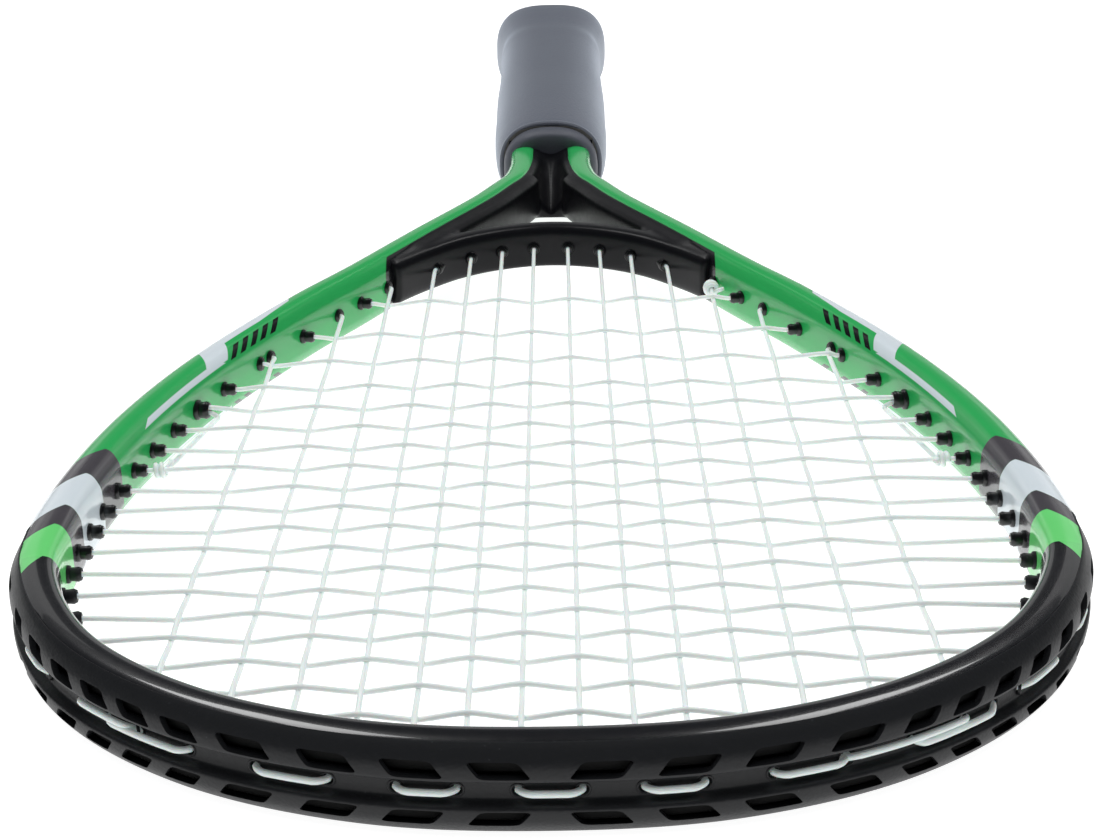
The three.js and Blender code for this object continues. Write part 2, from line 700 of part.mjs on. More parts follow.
// Strips lie in the channel round the outside, or on the back of the bridge, on the same
// stations as the tube under them so that the gap between the two stays even
function makeStrip(rail, ends, bottom, stations) {
  const section = [
    [bottom, -strip_half_width], [bottom + strip_thickness, -strip_half_width],
    [bottom + strip_thickness, strip_half_width], [bottom, strip_half_width],
  ];
  const places = ends.map((end) => end.outer_t);
  const margin = strip_end_margin / rail.length;
  const before = stations.filter((t) => t < Math.min(...places) - margin);
  const after = stations.filter((t) => t > Math.max(...places) + margin);
  const from = before.length ? before[before.length - 1] : stations[0];
  const to = after.length ? after[0] : stations[stations.length - 1];
  const rings = stations.filter((t) => t >= from && t <= to).map((t) => railRing(rail, t, section));
  const flat = (ring, last) => flatSection(last ? to : from, rail)(ring);
  const strip = withBarrels(toSolid(skin(rings, flat)), ends);
  return rail === bridge_rail ? strip.intersect(prism(betweenArms(apex_t, 0), tube_half_height)) : strip;
}

// Bumper guard: a C that wraps the tip, with a groove for the string loops and two rows of slots
function bumperSection() {
  const face = bumper_face;
  const seat = tube_half_width - rebate_depth + clearance;
  const groove_floor = channel_floor + clearance + strip_thickness;
  const groove_side = channel_half_width - clearance;
  const crown_height = tube_half_height - rebate_drop;
  const lip_top = crown_height + clearance + bumper_lip_rise;
  const shoulder = tube_outer_shares[1];
  const crown = tube_outer_shares[2][0] * tube_half_width - rebate_depth;
  const outer = [
    [groove_floor, strip_half_width - clearance], [face, groove_side],
    [face, tube_half_height * bumper_face_share],
    [(face + crown) / 2 + bumper_shoulder, crown_height + clearance],
    [crown - clearance, lip_top],
  ];
  const inner = [
    [crown - clearance, lip_top - bumper_lip_rise],
    [shoulder[0] * tube_half_width - rebate_depth + clearance, shoulder[1] * tube_half_height - rebate_drop / 2],
    [seat, tube_outer_shares[0][1] * tube_half_height],
    [seat, channel_half_width + channel_lip - clearance],
    [channel_floor + clearance, channel_half_width - clearance],
  ];
  const half = [...outer, ...inner];
  const lower = half.slice().reverse().map(([across, up]) => [across, -up]);
  return { upper: half, lower };
}

function slotSolid(share, side, row) {
  const run = (bumper_t - tip_share) * share;
  const t = tip_share + side * run;
  const length = slot_place_shares.indexOf(share) < long_slot_count ? long_slot_length : short_slot_length;
  const half_run = length / 2 / frame_rail.length;
  const lean = side * slot_slant / 2 / frame_rail.length;
  const low = row * (slot_centre_height - slot_height / 2);
  const high = row * (slot_centre_height + slot_height / 2);
  const corners = [
    [t - half_run - lean, low], [t + half_run - lean, low], [t + half_run + lean, high], [t - half_run + lean, high],
  ];
  const depth = [tube_half_width - rebate_depth - overrun, bumper_face + overrun];
  const rings = depth.map((across) => corners.map(([place, up]) => frame_rail.at(place, across, up)));
  const flat = (ring) => ring.map((p, i) => new THREE.Vector2(corners[i][0] * frame_rail.length, corners[i][1]));
  return toSolid(skin(rings, flat));
}

function makeBumper(ends) {
  const { upper, lower } = bumperSection();
  const rings = tip_stations.map((t) => railRing(frame_rail, t, [...upper, ...lower]));
  const flat = (ring, last) => flatSection(tip_stations[last ? tip_stations.length - 1 : 0], frame_rail)(ring);
  let solid = toSolid(skin(rings, flat));
  for (const share of slot_place_shares) {
    for (const side of [-1, 1]) {
      for (const row of [-1, 1]) solid = solid.subtract(slotSolid(share, side, row));
    }
  }
  return withBarrels(solid, ends);
}

// Handle rings: rounded rectangles across the handle, at a place from the butt
function handleRing(half_width, half_height, place) {
  return span(0, handle_sides - 1, handle_sides - 1).map((k) => {
    const angle = (k + 1 / 2) * 2 * Math.PI / handle_sides;
    const [c, s] = [Math.cos(angle), Math.sin(angle)];
    const power = 2 / handle_squareness;
    return new THREE.Vector3(
      Math.sign(c) * Math.abs(c) ** power * half_width, -place, Math.sign(s) * Math.abs(s) ** power * half_height,
    );
  });
}

const flatHandle = (ring) => ring.map((p) => new THREE.Vector2(p.x, p.z));

function boxSolid(width, depth, height, x, y, z) {
  const geometry = new THREE.BoxGeometry(width, depth, height);
  geometry.translate(x, y, z);
  return toSolid(geometry);
}

// Outside of the butt cap at a place from the butt
function capHalf(place) {
  const share = THREE.MathUtils.clamp(place / cap_length, 0, 1);
  const i = Math.max(1, cap_flare_shares.findIndex(([, at]) => at >= share));
  const [[size_a, at_a], [size_b, at_b]] = [cap_flare_shares[i - 1], cap_flare_shares[i]];
  return THREE.MathUtils.mapLinear(share, at_a, at_b, size_a, size_b);
}

// Half width and half height of what the grip lies on, at a place from the butt
function underGrip(place) {
  if (place > cap_length) return [pallet_half_width, pallet_half_height];
  const size = capHalf(place);
  return [
    Math.max(pallet_half_width, size * cap_half_width),
    Math.max(pallet_half_height, size * cap_half_height),
  ];
}

function stapleCuts(side) {
  const wide = staple_wire + clearance;
  const under = side * (underGrip(staple_place)[0] - staple_wire - clearance);
  const leg_x = side * (underGrip(staple_place)[0] - staple_leg / 2);
  const cuts = [boxSolid(4 * overrun, staple_width + 2 * clearance, staple_crown + 2 * clearance,
    under + side * 2 * overrun, -staple_place, 0)];
  for (const leg of [-1, 1]) {
    const up = leg * (staple_crown - staple_wire) / 2;
    cuts.push(boxSolid(staple_leg + 2 * overrun, staple_width + 2 * clearance, wide + clearance, leg_x, -staple_place, up));
  }
  return cuts;
}

function makeStaple(side) {
  const half = staple_crown / 2;
  const outline = new THREE.Shape([
    [0, -half], [staple_leg, -half], [staple_leg, staple_wire - half], [staple_wire, staple_wire - half],
    [staple_wire, half - staple_wire], [staple_leg, half - staple_wire], [staple_leg, half], [0, half],
  ].map(([x, y]) => new THREE.Vector2(x, y)));
  const geometry = new THREE.ExtrudeGeometry(outline, { depth: staple_width, bevelEnabled: false });
  geometry.translate(0, 0, -staple_width / 2);
  geometry.rotateX(Math.PI / 2);
  geometry.rotateY(side > 0 ? Math.PI : 0);
  const outer = underGrip(staple_place)[0] - clearance;
  geometry.translate(side * outer, -staple_place, 0);
  return geometry;
}

function makeShell(side) {
  const front = handle_length - pallet_front_inset;
  const inner = [pallet_half_width - pallet_step, pallet_half_height - pallet_step];
  const rings = [
    handleRing(...inner, cap_end_wall + clearance), handleRing(...inner, cap_length + clearance),
    handleRing(pallet_half_width, pallet_half_height, cap_length + clearance + overrun / 10),
    handleRing(pallet_half_width, pallet_half_height, front),
  ];
  let solid = toSolid(skin(rings, flatHandle));
  const deep = 2 * handle_length;
  for (const x of [-shaft_offset, shaft_offset]) {
    const wide = 2 * (tube_half_width + clearance);
    solid = solid.subtract(boxSolid(wide, deep, 2 * (tube_half_height + clearance), x, 0, 0));
  }
  const stem = 2 * (shaft_offset - tube_half_width);
  solid = solid.subtract(boxSolid(stem, 2 * (stem_inset + clearance), 2 * (bridge_half_height + clearance), 0, -handle_length, 0));
  const half_space = 2 * pallet_half_height;
  const gap_shift = shell_split_gap / 2;
  solid = solid.subtract(boxSolid(4 * pallet_half_width, deep, half_space, 0, 0, side * (gap_shift - half_space / 2)));
  return [...stapleCuts(-1), ...stapleCuts(1)].reduce((body, cut) => body.subtract(cut), solid);
}

function makeCap() {
  const places = cap_flare_shares.map(([size, at]) => (
    handleRing(size * cap_half_width, size * cap_half_height, at * cap_length)));
  const inside = [pallet_half_width - pallet_step + clearance, pallet_half_height - pallet_step + clearance];
  const hollow = [handleRing(...inside, cap_end_wall), handleRing(...inside, cap_length + overrun)];
  let solid = toSolid(skin(places, flatHandle)).subtract(toSolid(skin(hollow, flatHandle)));
  const disc = (radius, depth, place) => {
    const geometry = new THREE.CylinderGeometry(radius, radius, depth, handle_sides);
    geometry.translate(0, -place, 0);
    return toSolid(geometry);
  };
  solid = solid.subtract(disc(door_radius + clearance, 2 * (door_thickness + clearance), 0));
  solid = solid.subtract(disc(door_radius - door_lip, 4 * cap_end_wall, 0));
  return [...stapleCuts(-1), ...stapleCuts(1)].reduce((body, cut) => body.subtract(cut), solid);
}

function makeDoor() {
  const stub = door_radius - door_lip - clearance;
  const profile = [
    [0, 0], [door_radius, 0], [door_radius, -door_thickness], [stub, -door_thickness],
    [stub, -cap_end_wall], [stub - door_lip, -cap_end_wall],
    [stub - door_lip, -door_thickness], [0, -door_thickness],
  ];
  return new THREE.LatheGeometry(profile.reverse().map(([x, y]) => new THREE.Vector2(x, y)), handle_sides);
}

// A sleeve between two surfaces along the handle, each given at places from the butt
function sleeve(places, innerAt, outerAt) {
  const rings = places.map((place) => handleRing(...outerAt(place), place));
  const bare = places.map((place) => handleRing(...innerAt(place), place));
  const beyond = (ring, by) => ring.map((point) => point.clone().addScaledVector(y_axis, by));
  const hollow = [beyond(bare[0], overrun), ...bare, beyond(bare[bare.length - 1], -overrun)];
  return toGeometry(toSolid(skin(rings, flatHandle)).subtract(toSolid(skin(hollow, flatHandle))));
}

const grow = ([wide, high], by) => [wide + by, high + by];
const grip_front = handle_length - grip_front_inset;
const grip_thickness_line = [
  [0, grip_thickness], [grip_waist_place, grip_thickness],
  [grip_bulge_place, grip_thickness + grip_bulge],
  [grip_front - grip_taper_length, grip_thickness + grip_bulge / 2], [grip_front, grip_end_thickness],
];

function gripThickness(place) {
  const i = Math.max(1, grip_thickness_line.findIndex(([at]) => at >= place));
  const [[at_a, size_a], [at_b, size_b]] = [grip_thickness_line[i - 1], grip_thickness_line[i]];
  return THREE.MathUtils.mapLinear(place, at_a, at_b, size_a, size_b);
}

function makeGrip() {
  const flare = cap_flare_shares.map(([, at]) => at * cap_length).filter((place) => place > grip_rear_inset);
  const along = grip_thickness_line.map(([at]) => at).filter((at) => at > cap_length);
  const places = [grip_rear_inset, ...flare, ...along];
  return sleeve(places, (place) => grow(underGrip(place), clearance), (place) => (
    grow(underGrip(place), clearance + gripThickness(place))));
}

function makeCollar() {
  const back = handle_length - collar_length;
  const rings = collar_nose_shares.map(([scale, at]) => (
    handleRing(pallet_half_width * scale, pallet_half_height * scale, back + at * collar_length)));
  const mouth = boxSolid(
    2 * (shaft_offset + tube_half_width + clearance), 4 * collar_length,
    2 * (tube_half_height + clearance), 0, -handle_length, 0,
  );
  return toGeometry(toSolid(skin(rings, flatHandle)).subtract(mouth));
}

// A tie-off knot: two turns of string round another string, close to its grommet
function knotPoints(from, towards, stand_off) {
  const axis = towards.clone().sub(from).normalize();
  const side = new THREE.Vector3(-axis.y, axis.x, 0).normalize();
  const up = new THREE.Vector3().crossVectors(axis, side);
  const steps = knot_turn_count * knot_steps;
  return span(0, steps, steps).map((k) => {
    const angle = 2 * Math.PI * k / knot_steps;
    const along = stand_off + (k / knot_steps - knot_turn_count / 2) * knot_pitch;
    return from.clone().addScaledVector(axis, along)
      .addScaledVector(side, Math.cos(angle) * knot_radius).addScaledVector(up, Math.sin(angle) * knot_radius);
  });
}

// Assembly
const side_crosses = crosses.filter(({ y }) => -y < bumper_end_place);
const tip_crosses = crosses.filter(({ y }) => -y > bumper_end_place);
const outer_mains = mains.filter(({ throat }) => throat.rail === frame_rail);
const inner_mains = mains.filter(({ throat }) => throat.rail === bridge_rail);
const onSide = (side) => [
  ...side_crosses.map((cross) => (side < 0 ? cross.left : cross.right)),
  ...outer_mains.filter(({ x }) => x * side > 0).map(({ throat }) => throat),
];
const tip_ends = [...mains.map(({ tip }) => tip), ...tip_crosses.flatMap(({ left, right }) => [left, right])];
const bridge_ends = inner_mains.map(({ throat }) => throat);
const frame_ends = [...onSide(-1), ...onSide(1), ...tip_ends];

const radius = string_diameter / 2;
const main_path = mainPoints();
const cross_path = crossPoints();
console.log(`least gap of the main string to itself: ${leastGap(main_path, string_diameter)}`);
console.log(`least gap of the cross string to itself: ${leastGap(cross_path, string_diameter)}`);

addPiece('frame_tube', toGeometry(makeFrame(frame_ends.map(hole))), finishes.frame);
addPiece('throat_bridge', toGeometry(makeThroatBridge(bridge_ends.map(hole))), finishes.black);
addPiece('bumper_guard', toGeometry(makeBumper(tip_ends)), finishes.bumper);
const strip_seat = channel_floor + clearance;
const left_stations = side_stations.slice().reverse().map(mirror_t);
const bridge_seat = bridge_half_width + clearance;
const strips = {
  grommet_strip_left: [frame_rail, onSide(-1), strip_seat, left_stations],
  grommet_strip_right: [frame_rail, onSide(1), strip_seat, side_stations],
  grommet_strip_throat: [bridge_rail, bridge_ends, bridge_seat, bridge_stations],
};
for (const [name, strip] of Object.entries(strips)) {
  addPiece(name, toGeometry(makeStrip(...strip)), finishes.black);
}
addPiece('string_mains', tubeAlong(main_path, radius, string_sides), finishes.string);
addPiece('string_crosses', tubeAlong(cross_path, radius, string_sides), finishes.string);
const tied_main = mains[knot_main_index];
const tied_cross = crosses[tail_out_index];
const tied_crossings = crossingsOf(tail_out_index, tied_cross.left.tip.x, tied_cross.right.tip.x);
const tied_left = [tied_cross.left.tip, tied_crossings[0]];
const tied_right = [tied_cross.right.tip, tied_crossings[tied_crossings.length - 1]];
const lifted = ([mouth, crossing]) => [mouth.clone().setZ(liftTo(crossing)), crossing, knot_near_off];
const knots = {
  string_knot_throat: [tied_main.throat.tip, tied_main.tip.tip, knot_stand_off],
  string_knot_tip: [throughEnd(tied_main.tip, 1).inner, tied_main.throat.tip, knot_near_off],
  string_knot_left: lifted(tied_left),
  string_knot_right: lifted(tied_right),
};
for (const [name, knot] of Object.entries(knots)) {
  addPiece(name, tubeAlong(knotPoints(...knot), radius, string_sides), finishes.string);
}
addPiece('handle_shell_upper', toGeometry(makeShell(1)), finishes.shell);
addPiece('handle_shell_lower', toGeometry(makeShell(-1)), finishes.shell);
addPiece('butt_cap', toGeometry(makeCap()), finishes.black);
addPiece('butt_cap_door', makeDoor(), finishes.black);
addPiece('butt_staple_left', makeStaple(-1), finishes.steel);
addPiece('butt_staple_right', makeStaple(1), finishes.steel);
addPiece('grip_wrap', makeGrip(), finishes.grip);
addPiece('grip_collar', makeCollar(), finishes.black);

export default racket;
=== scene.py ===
"""Looks of a crossminton racket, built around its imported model.

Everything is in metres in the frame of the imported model: the origin is the middle of the butt's
end face, the tip points along -Y, the strings lie in the plane Z = 0, and +Z is the upper face.
"""

import math
from functools import reduce
from types import SimpleNamespace

import bmesh
import bpy
import numpy as np
from mathutils import Matrix, Vector


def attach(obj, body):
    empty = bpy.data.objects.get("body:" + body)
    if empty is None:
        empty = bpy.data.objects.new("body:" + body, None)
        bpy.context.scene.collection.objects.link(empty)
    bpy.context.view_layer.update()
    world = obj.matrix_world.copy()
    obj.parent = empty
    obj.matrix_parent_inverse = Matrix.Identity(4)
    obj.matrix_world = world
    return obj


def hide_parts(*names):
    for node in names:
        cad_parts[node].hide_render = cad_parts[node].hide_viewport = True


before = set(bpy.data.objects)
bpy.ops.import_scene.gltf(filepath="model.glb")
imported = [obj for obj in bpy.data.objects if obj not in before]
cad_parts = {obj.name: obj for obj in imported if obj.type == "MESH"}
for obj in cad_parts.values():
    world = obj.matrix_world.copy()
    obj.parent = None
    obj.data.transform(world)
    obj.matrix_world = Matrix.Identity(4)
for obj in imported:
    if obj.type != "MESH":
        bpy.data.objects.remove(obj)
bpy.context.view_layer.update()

bl_info = {
    "name": "Crossminton racket",
    "version": (1, 0, 0),
    "blender": (4, 5, 0),
    "location": "3D View > Sidebar > Racket",
    "description": "Builds the visible pieces of a strung racket around its packed model",
    "category": "Object",
}

MM = 0.001
BODY = "root"

# Centre line of the frame and of the throat bridge, as shares of their sizes
HEAD_SHARES = [
    (0, 0), (0.312, 0.012), (0.611, 0.06), (0.849, 0.145), (0.984, 0.262), (1, 0.36),
    (0.972, 0.502), (0.914, 0.619), (0.815, 0.747), (0.652, 0.903), (0.532, 1),
]
ARM_SHARES = [(0.646, 0.27), (0.274, 0.545), (0.145, 0.662), (0.057, 0.745), (0.008, 0.86)]
BRIDGE_SHARES = [(0, 0), (0.305, 0.088), (0.568, 0.293), (0.8, 0.627), (1, 1)]
# Half of the tube's section, from the middle of its inner side over the crown to the channel
SECTION_SHARES = [(-1, 0), (-1, 0.36), (-0.94, 0.6), (-0.52, 0.94), (0.16, 1), (0.68, 0.92), (1, 0.74), (1, 0.405)]
# The same by the tip, where its inner shoulder is fuller
TIP_SHARES = [(-1.06, 0), (-1.06, 0.4), (-1.02, 0.7), (-0.74, 0.95), (0.1, 1.01), (0.68, 0.92), (1, 0.74), (1, 0.405)]
# Places of the strings in mm: mains from the middle outwards, crosses from the butt
MAIN_HALF_PLACES = (5, 14.3, 23.3, 33.3, 44.5, 56, 70.3)
CROSS_PLACES = (
    342.5, 369, 388.8, 406.5, 420, 432.6, 444.5, 455.8, 466.9, 477.6,
    487.6, 497.5, 507.2, 516.8, 526.2, 535.5, 544.8, 554.6, 564.4,
)
# Crosses whose barrels are short or flush, those that the side strands share and are tied to,
# and the main that the cross string starts beside
SHORT_CROSSES = (2, 17)
FLUSH_CROSSES = (18,)
TAIL_CROSS = 4
TIED_CROSS = 7
TIED_MAIN = 11
# Distance from the butt beyond which the crosses run through the guard's own barrels
GUARD_CROSSES = 501 * MM
# From the tip to the centre line there, from a string to one that shares its grommet, from a
# barrel's mouth to the first crossing, and from the tube's face to a strip
TIP_INSET = 5 * MM
SHARED_SHIFT = 0.7 * MM
CLEAR_OF_MOUTH = 1.2 * MM
STRIP_GAP = 0.3 * MM
# The guard's lip: distance from the tip, and how far round the tube's section it lies, in mm
LIP_PLACES = (0, 60, 100, 125, 138, 144, 147.5)
LIP_ROUNDS = (13.2, 13.2, 13.3, 13.6, 14.1, 14.5, 14.7)
# How far round the tube's section the guard's outer face ends
FACE_ROUND = 15.1 * MM
# Where the guard's slots lie, as shares of its half length, and how many of them are long
SLOT_SHARES = (0.055, 0.148, 0.24, 0.337, 0.419, 0.487, 0.552, 0.618, 0.688, 0.765, 0.86)
LONG_SLOTS = 4
# Paint, in mm along the tube from the tip: where the bands meet, and the bars' centres
BAND_EDGES = (185.8, 172.5, 156.3, 147, 131.7, -1)
BAR_CENTRES = (274.7, 269.6, 264.7, 259.6, 254.6)
BAR_HALF_WIDTH = 1.4
# Steps of a rail between two of its corners, and a direction that no string runs along
SPAN_STEPS = 160
ASKEW = (0.31, 0.17, 0.93)


def length(name, description, default):
    """A length that a user would change, given in mm."""
    return bpy.props.FloatProperty(
        name=name, description=description, default=default * MM, precision=5, unit="LENGTH", subtype="DISTANCE")


def share(name, description, default):
    """A plain factor."""
    return bpy.props.FloatProperty(name=name, description=description, default=default, subtype="FACTOR")


def camera_angle(name, description, default):
    """An angle of the camera, given in degrees."""
    return bpy.props.FloatProperty(
        name=name, description=description, default=math.radians(default), precision=5,
        unit="ROTATION", subtype="ANGLE")


def colour(name, description, red, green, blue):
    """A colour that is given as a screen shows it, kept as the renderer mixes it."""
    linear = [((v / 255 + 0.055) / 1.055) ** 2.4 for v in (red, green, blue)]
    return bpy.props.FloatVectorProperty(
        name=name, description=description, default=linear, size=3, min=0, max=1, subtype="COLOR")


class FrameSizes(bpy.types.PropertyGroup):
    """Sizes and paint of the tube and the throat."""

    overall: length("Overall length", "From the butt to the guard's face at the tip", 590)
    handle: length("Handle length", "From the butt to the collar's front face", 206)
    head_half_width: length("Head half width", "From the middle to the widest centre line", 100.4)
    head_length: length("Head length", "From the tip's centre line to the top of the arms", 250.6)
    throat_length: length("Throat length", "Along which the arms close in", 128.4)
    arm_half_spread: length("Arm half spread", "From the middle to the top of the arms", 53.4)
    shaft_offset: length("Shaft offset", "From the middle to a shaft's centre line", 8.4)
    shaft_bend: length("Shaft bend", "Between the last bend and the straight shafts", 4)
    shaft_inset: length("Shaft inset", "From the butt to the shafts' ends", 18)
    half_width: length("Tube half width", "Half of the tube's width in the string plane", 4.5)
    half_height: length("Tube half height", "Half of the tube's height", 8.4)
    channel_floor: length("Channel floor", "How far out the floor of the string channel lies", 1.7)
    channel_half_width: length("Channel half width", "Half of the channel's width at its floor", 2.9)
    rebate: length("Rebate depth", "How far the tube steps in under the guard", 1.6)
    bridge_rise: length("Bridge rise", "From the butt to the bridge's middle", 289)
    bridge_half_span: length("Bridge half span", "From the middle to the bridge's end", 47.5)
    bridge_sag: length("Bridge sag", "How much the bridge curves", 37.5)
    bridge_half_width: length("Bridge half width", "Half of the bridge's width in the string plane", 4)
    bridge_half_height: length("Bridge half height", "Half of the bridge's height", 6.4)
    bridge_bevel: length("Bridge rounding", "Radius along the bridge's long edges", 2.4)
    throat_wall: length("Throat lining", "Thickness of the lining on the arms", 2.2)
    apex_gap: length("Apex gap", "From the collar to the opening's narrow end", 31)
    stem_inset: length("Stem inset", "How far the apex reaches into the handle", 9)
    foot_half_width: length("Painted foot", "How far out the black paint of the throat reaches", 46)
    green: colour("Frame green", "Main colour of the tube", 46, 176, 92)
    bright_green: colour("Bright green", "Thin band by the guard", 112, 224, 124)
    dark_grey: colour("Dark grey", "Two narrow bands", 72, 69, 74)
    white: colour("White", "Wide band and hooks", 224, 234, 240)
    black: colour("Black", "Tip and throat", 16, 16, 19)


class StringSizes(bpy.types.PropertyGroup):
    """Sizes of the strings and their grommets."""

    diameter: length("String diameter", "Diameter of the strings", 1.15)
    cross_wave: length("Cross wave", "How far the cross strings rise and sink", 0.68)
    main_wave: length("Main wave", "How far the main strings rise and sink", 0.4)
    lane: length("Loop lane", "From the middle of the channel to a row of loops", 0.72)
    tip_lane: length("Tip loop lane", "The same for the loops by the tip that lie alone", 0.1)
    loop_radius: length("Loop radius", "Radius of a string outside the frame", 0.62)
    loop_ease: length("Loop ease", "Length over which a loop comes out of its hole", 2.3)
    loop_rise: length("Loop rise", "How far the middle of a loop stands off", 0.2)
    loop_dive: length("Loop dive", "How deep a loop's ends lie", 1.3)
    loop_gap: length("Loop gap", "Between the grommet strip and the loops", 0.45)
    bend: length("Bend", "Length of the rounding where a string turns", 1.1)
    strip_thickness: length("Strip thickness", "Thickness of the grommet strips", 1)
    strip_half_width: length("Strip half width", "Half of the strips' width", 2.4)
    strip_margin: length("Strip margin", "How far a strip runs beyond its last grommet", 6)
    barrel_radius: length("Barrel radius", "Radius of a grommet's barrel", 1.5)
    shared_radius: length("Shared barrel radius", "Radius where two strings share a barrel", 2.1)
    bore_radius: length("Bore radius", "Radius of the hole in a barrel", 0.74)
    flange_radius: length("Flange radius", "Radius of the flange on the tube", 1.85)
    flange_height: length("Flange height", "Height of the flange on the tube", 0.75)
    reach: length("Barrel reach", "How far a barrel stands out of the tube", 3.1)
    short_reach: length("Short barrel reach", "The same for the barrels in the corners", 0.9)
    flush_reach: length("Flush barrel reach", "The same beside the tip", 0.3)
    bridge_reach: length("Bridge barrel reach", "The same on the bridge", 1.6)
    strand_height: length("Strand height", "How far the side strands lie under the bed", 1.9)
    nylon: colour("String colour", "Colour of the strings", 229, 238, 236)


class GuardSizes(bpy.types.PropertyGroup):
    """Sizes of the bumper guard."""

    face: length("Guard face", "How far the guard's face stands out from the centre line", 5.05)
    half_length: length("Guard half length", "From the tip to a guard's end, along the frame", 147.5)
    thickness: length("Guard thickness", "Wall of the guard", 1.15)
    groove: length("Groove floor", "How far out the groove's floor lies", 3.05)
    slot_low: length("Slot's lower edge", "Height of the edge near the groove", 3)
    slot_high: length("Slot's upper edge", "Height of the edge near the crown", 5.9)
    slot_slant: length("Slot slant", "How far a slot's two edges are out of step", 2.3)
    long_slot: length("Long slot", "Length of the slots by the tip", 8.3)
    short_slot: length("Short slot", "Length of the slots on the sides", 6.2)
    charcoal: colour("Guard colour", "Colour of the guard", 30, 31, 33)
    barrel_black: colour("Grommet colour", "Colour of the barrels and strips", 14, 15, 16)


class HandleSizes(bpy.types.PropertyGroup):
    """Sizes of the handle."""

    squareness: share("Squareness", "How square the section is inside the grip; 2 is round", 3)
    butt_squareness: share("Butt squareness", "How square the grip is by the butt", 2.75)
    front_squareness: share("Front squareness", "How square the grip and the collar are in front", 2.35)
    butt_half_width: length("Butt half width", "At the flare", 23)
    butt_half_height: length("Butt half height", "At the flare", 19.2)
    waist_half_width: length("Waist half width", "Behind the flare", 19.8)
    waist_half_height: length("Waist half height", "Behind the flare", 16.1)
    bulge_half_width: length("Bulge half width", "Near the front", 19.7)
    bulge_half_height: length("Bulge half height", "Near the front", 16.8)
    front_half_width: length("Grip end half width", "At the grip's front edge", 17.5)
    front_half_height: length("Grip end half height", "At the grip's front edge", 15.1)
    grip_rear: length("Grip's rear edge", "Distance from the butt", 1.9)
    grip_front: length("Grip's front edge", "Distance from the butt", 198)
    collar_rear: length("Collar's rear edge", "Distance from the butt", 198.6)
    collar_half_width: length("Collar half width", "Half width of the collar", 15.9)
    collar_half_height: length("Collar half height", "Half height of the collar", 13.5)
    cap_half_width: length("Cap half width", "Half width of the butt's end face", 19.2)
    cap_half_height: length("Cap half height", "Half height of the butt's end face", 16.2)
    door_radius: length("Door radius", "Radius of the disc in the end face", 9)
    grip: colour("Grip colour", "Colour of the cushioned grip", 88, 92, 103)
    rubber: colour("Rubber colour", "Colour of the butt and the collar", 80, 83, 92)


class StageSizes(bpy.types.PropertyGroup):
    """Camera, floor and light."""

    camera_x: length("Camera X", "Place of the camera", 2.957)
    camera_y: length("Camera Y", "Place of the camera", -866.258)
    camera_z: length("Camera Z", "Place of the camera", 176.542)
    pitch: camera_angle("Pitch", "How far the camera looks down", 22.005)
    yaw: camera_angle("Yaw", "How far the camera is turned to the right", -0.365)
    roll: camera_angle("Roll", "How far the camera leans", -0.997)
    lens: bpy.props.FloatProperty(
        name="Lens", description="Focal length on a sensor 36 mm wide", default=65.806, unit="CAMERA")
    floor_half_size: length("Floor half size", "Half of the floor's side", 12000)
    rest_rear: length("Rear rest", "Lowest point of the butt", -19.25)
    rest_front: length("Front rest", "Lowest point of the tip", -8.65)


# Mesh helpers


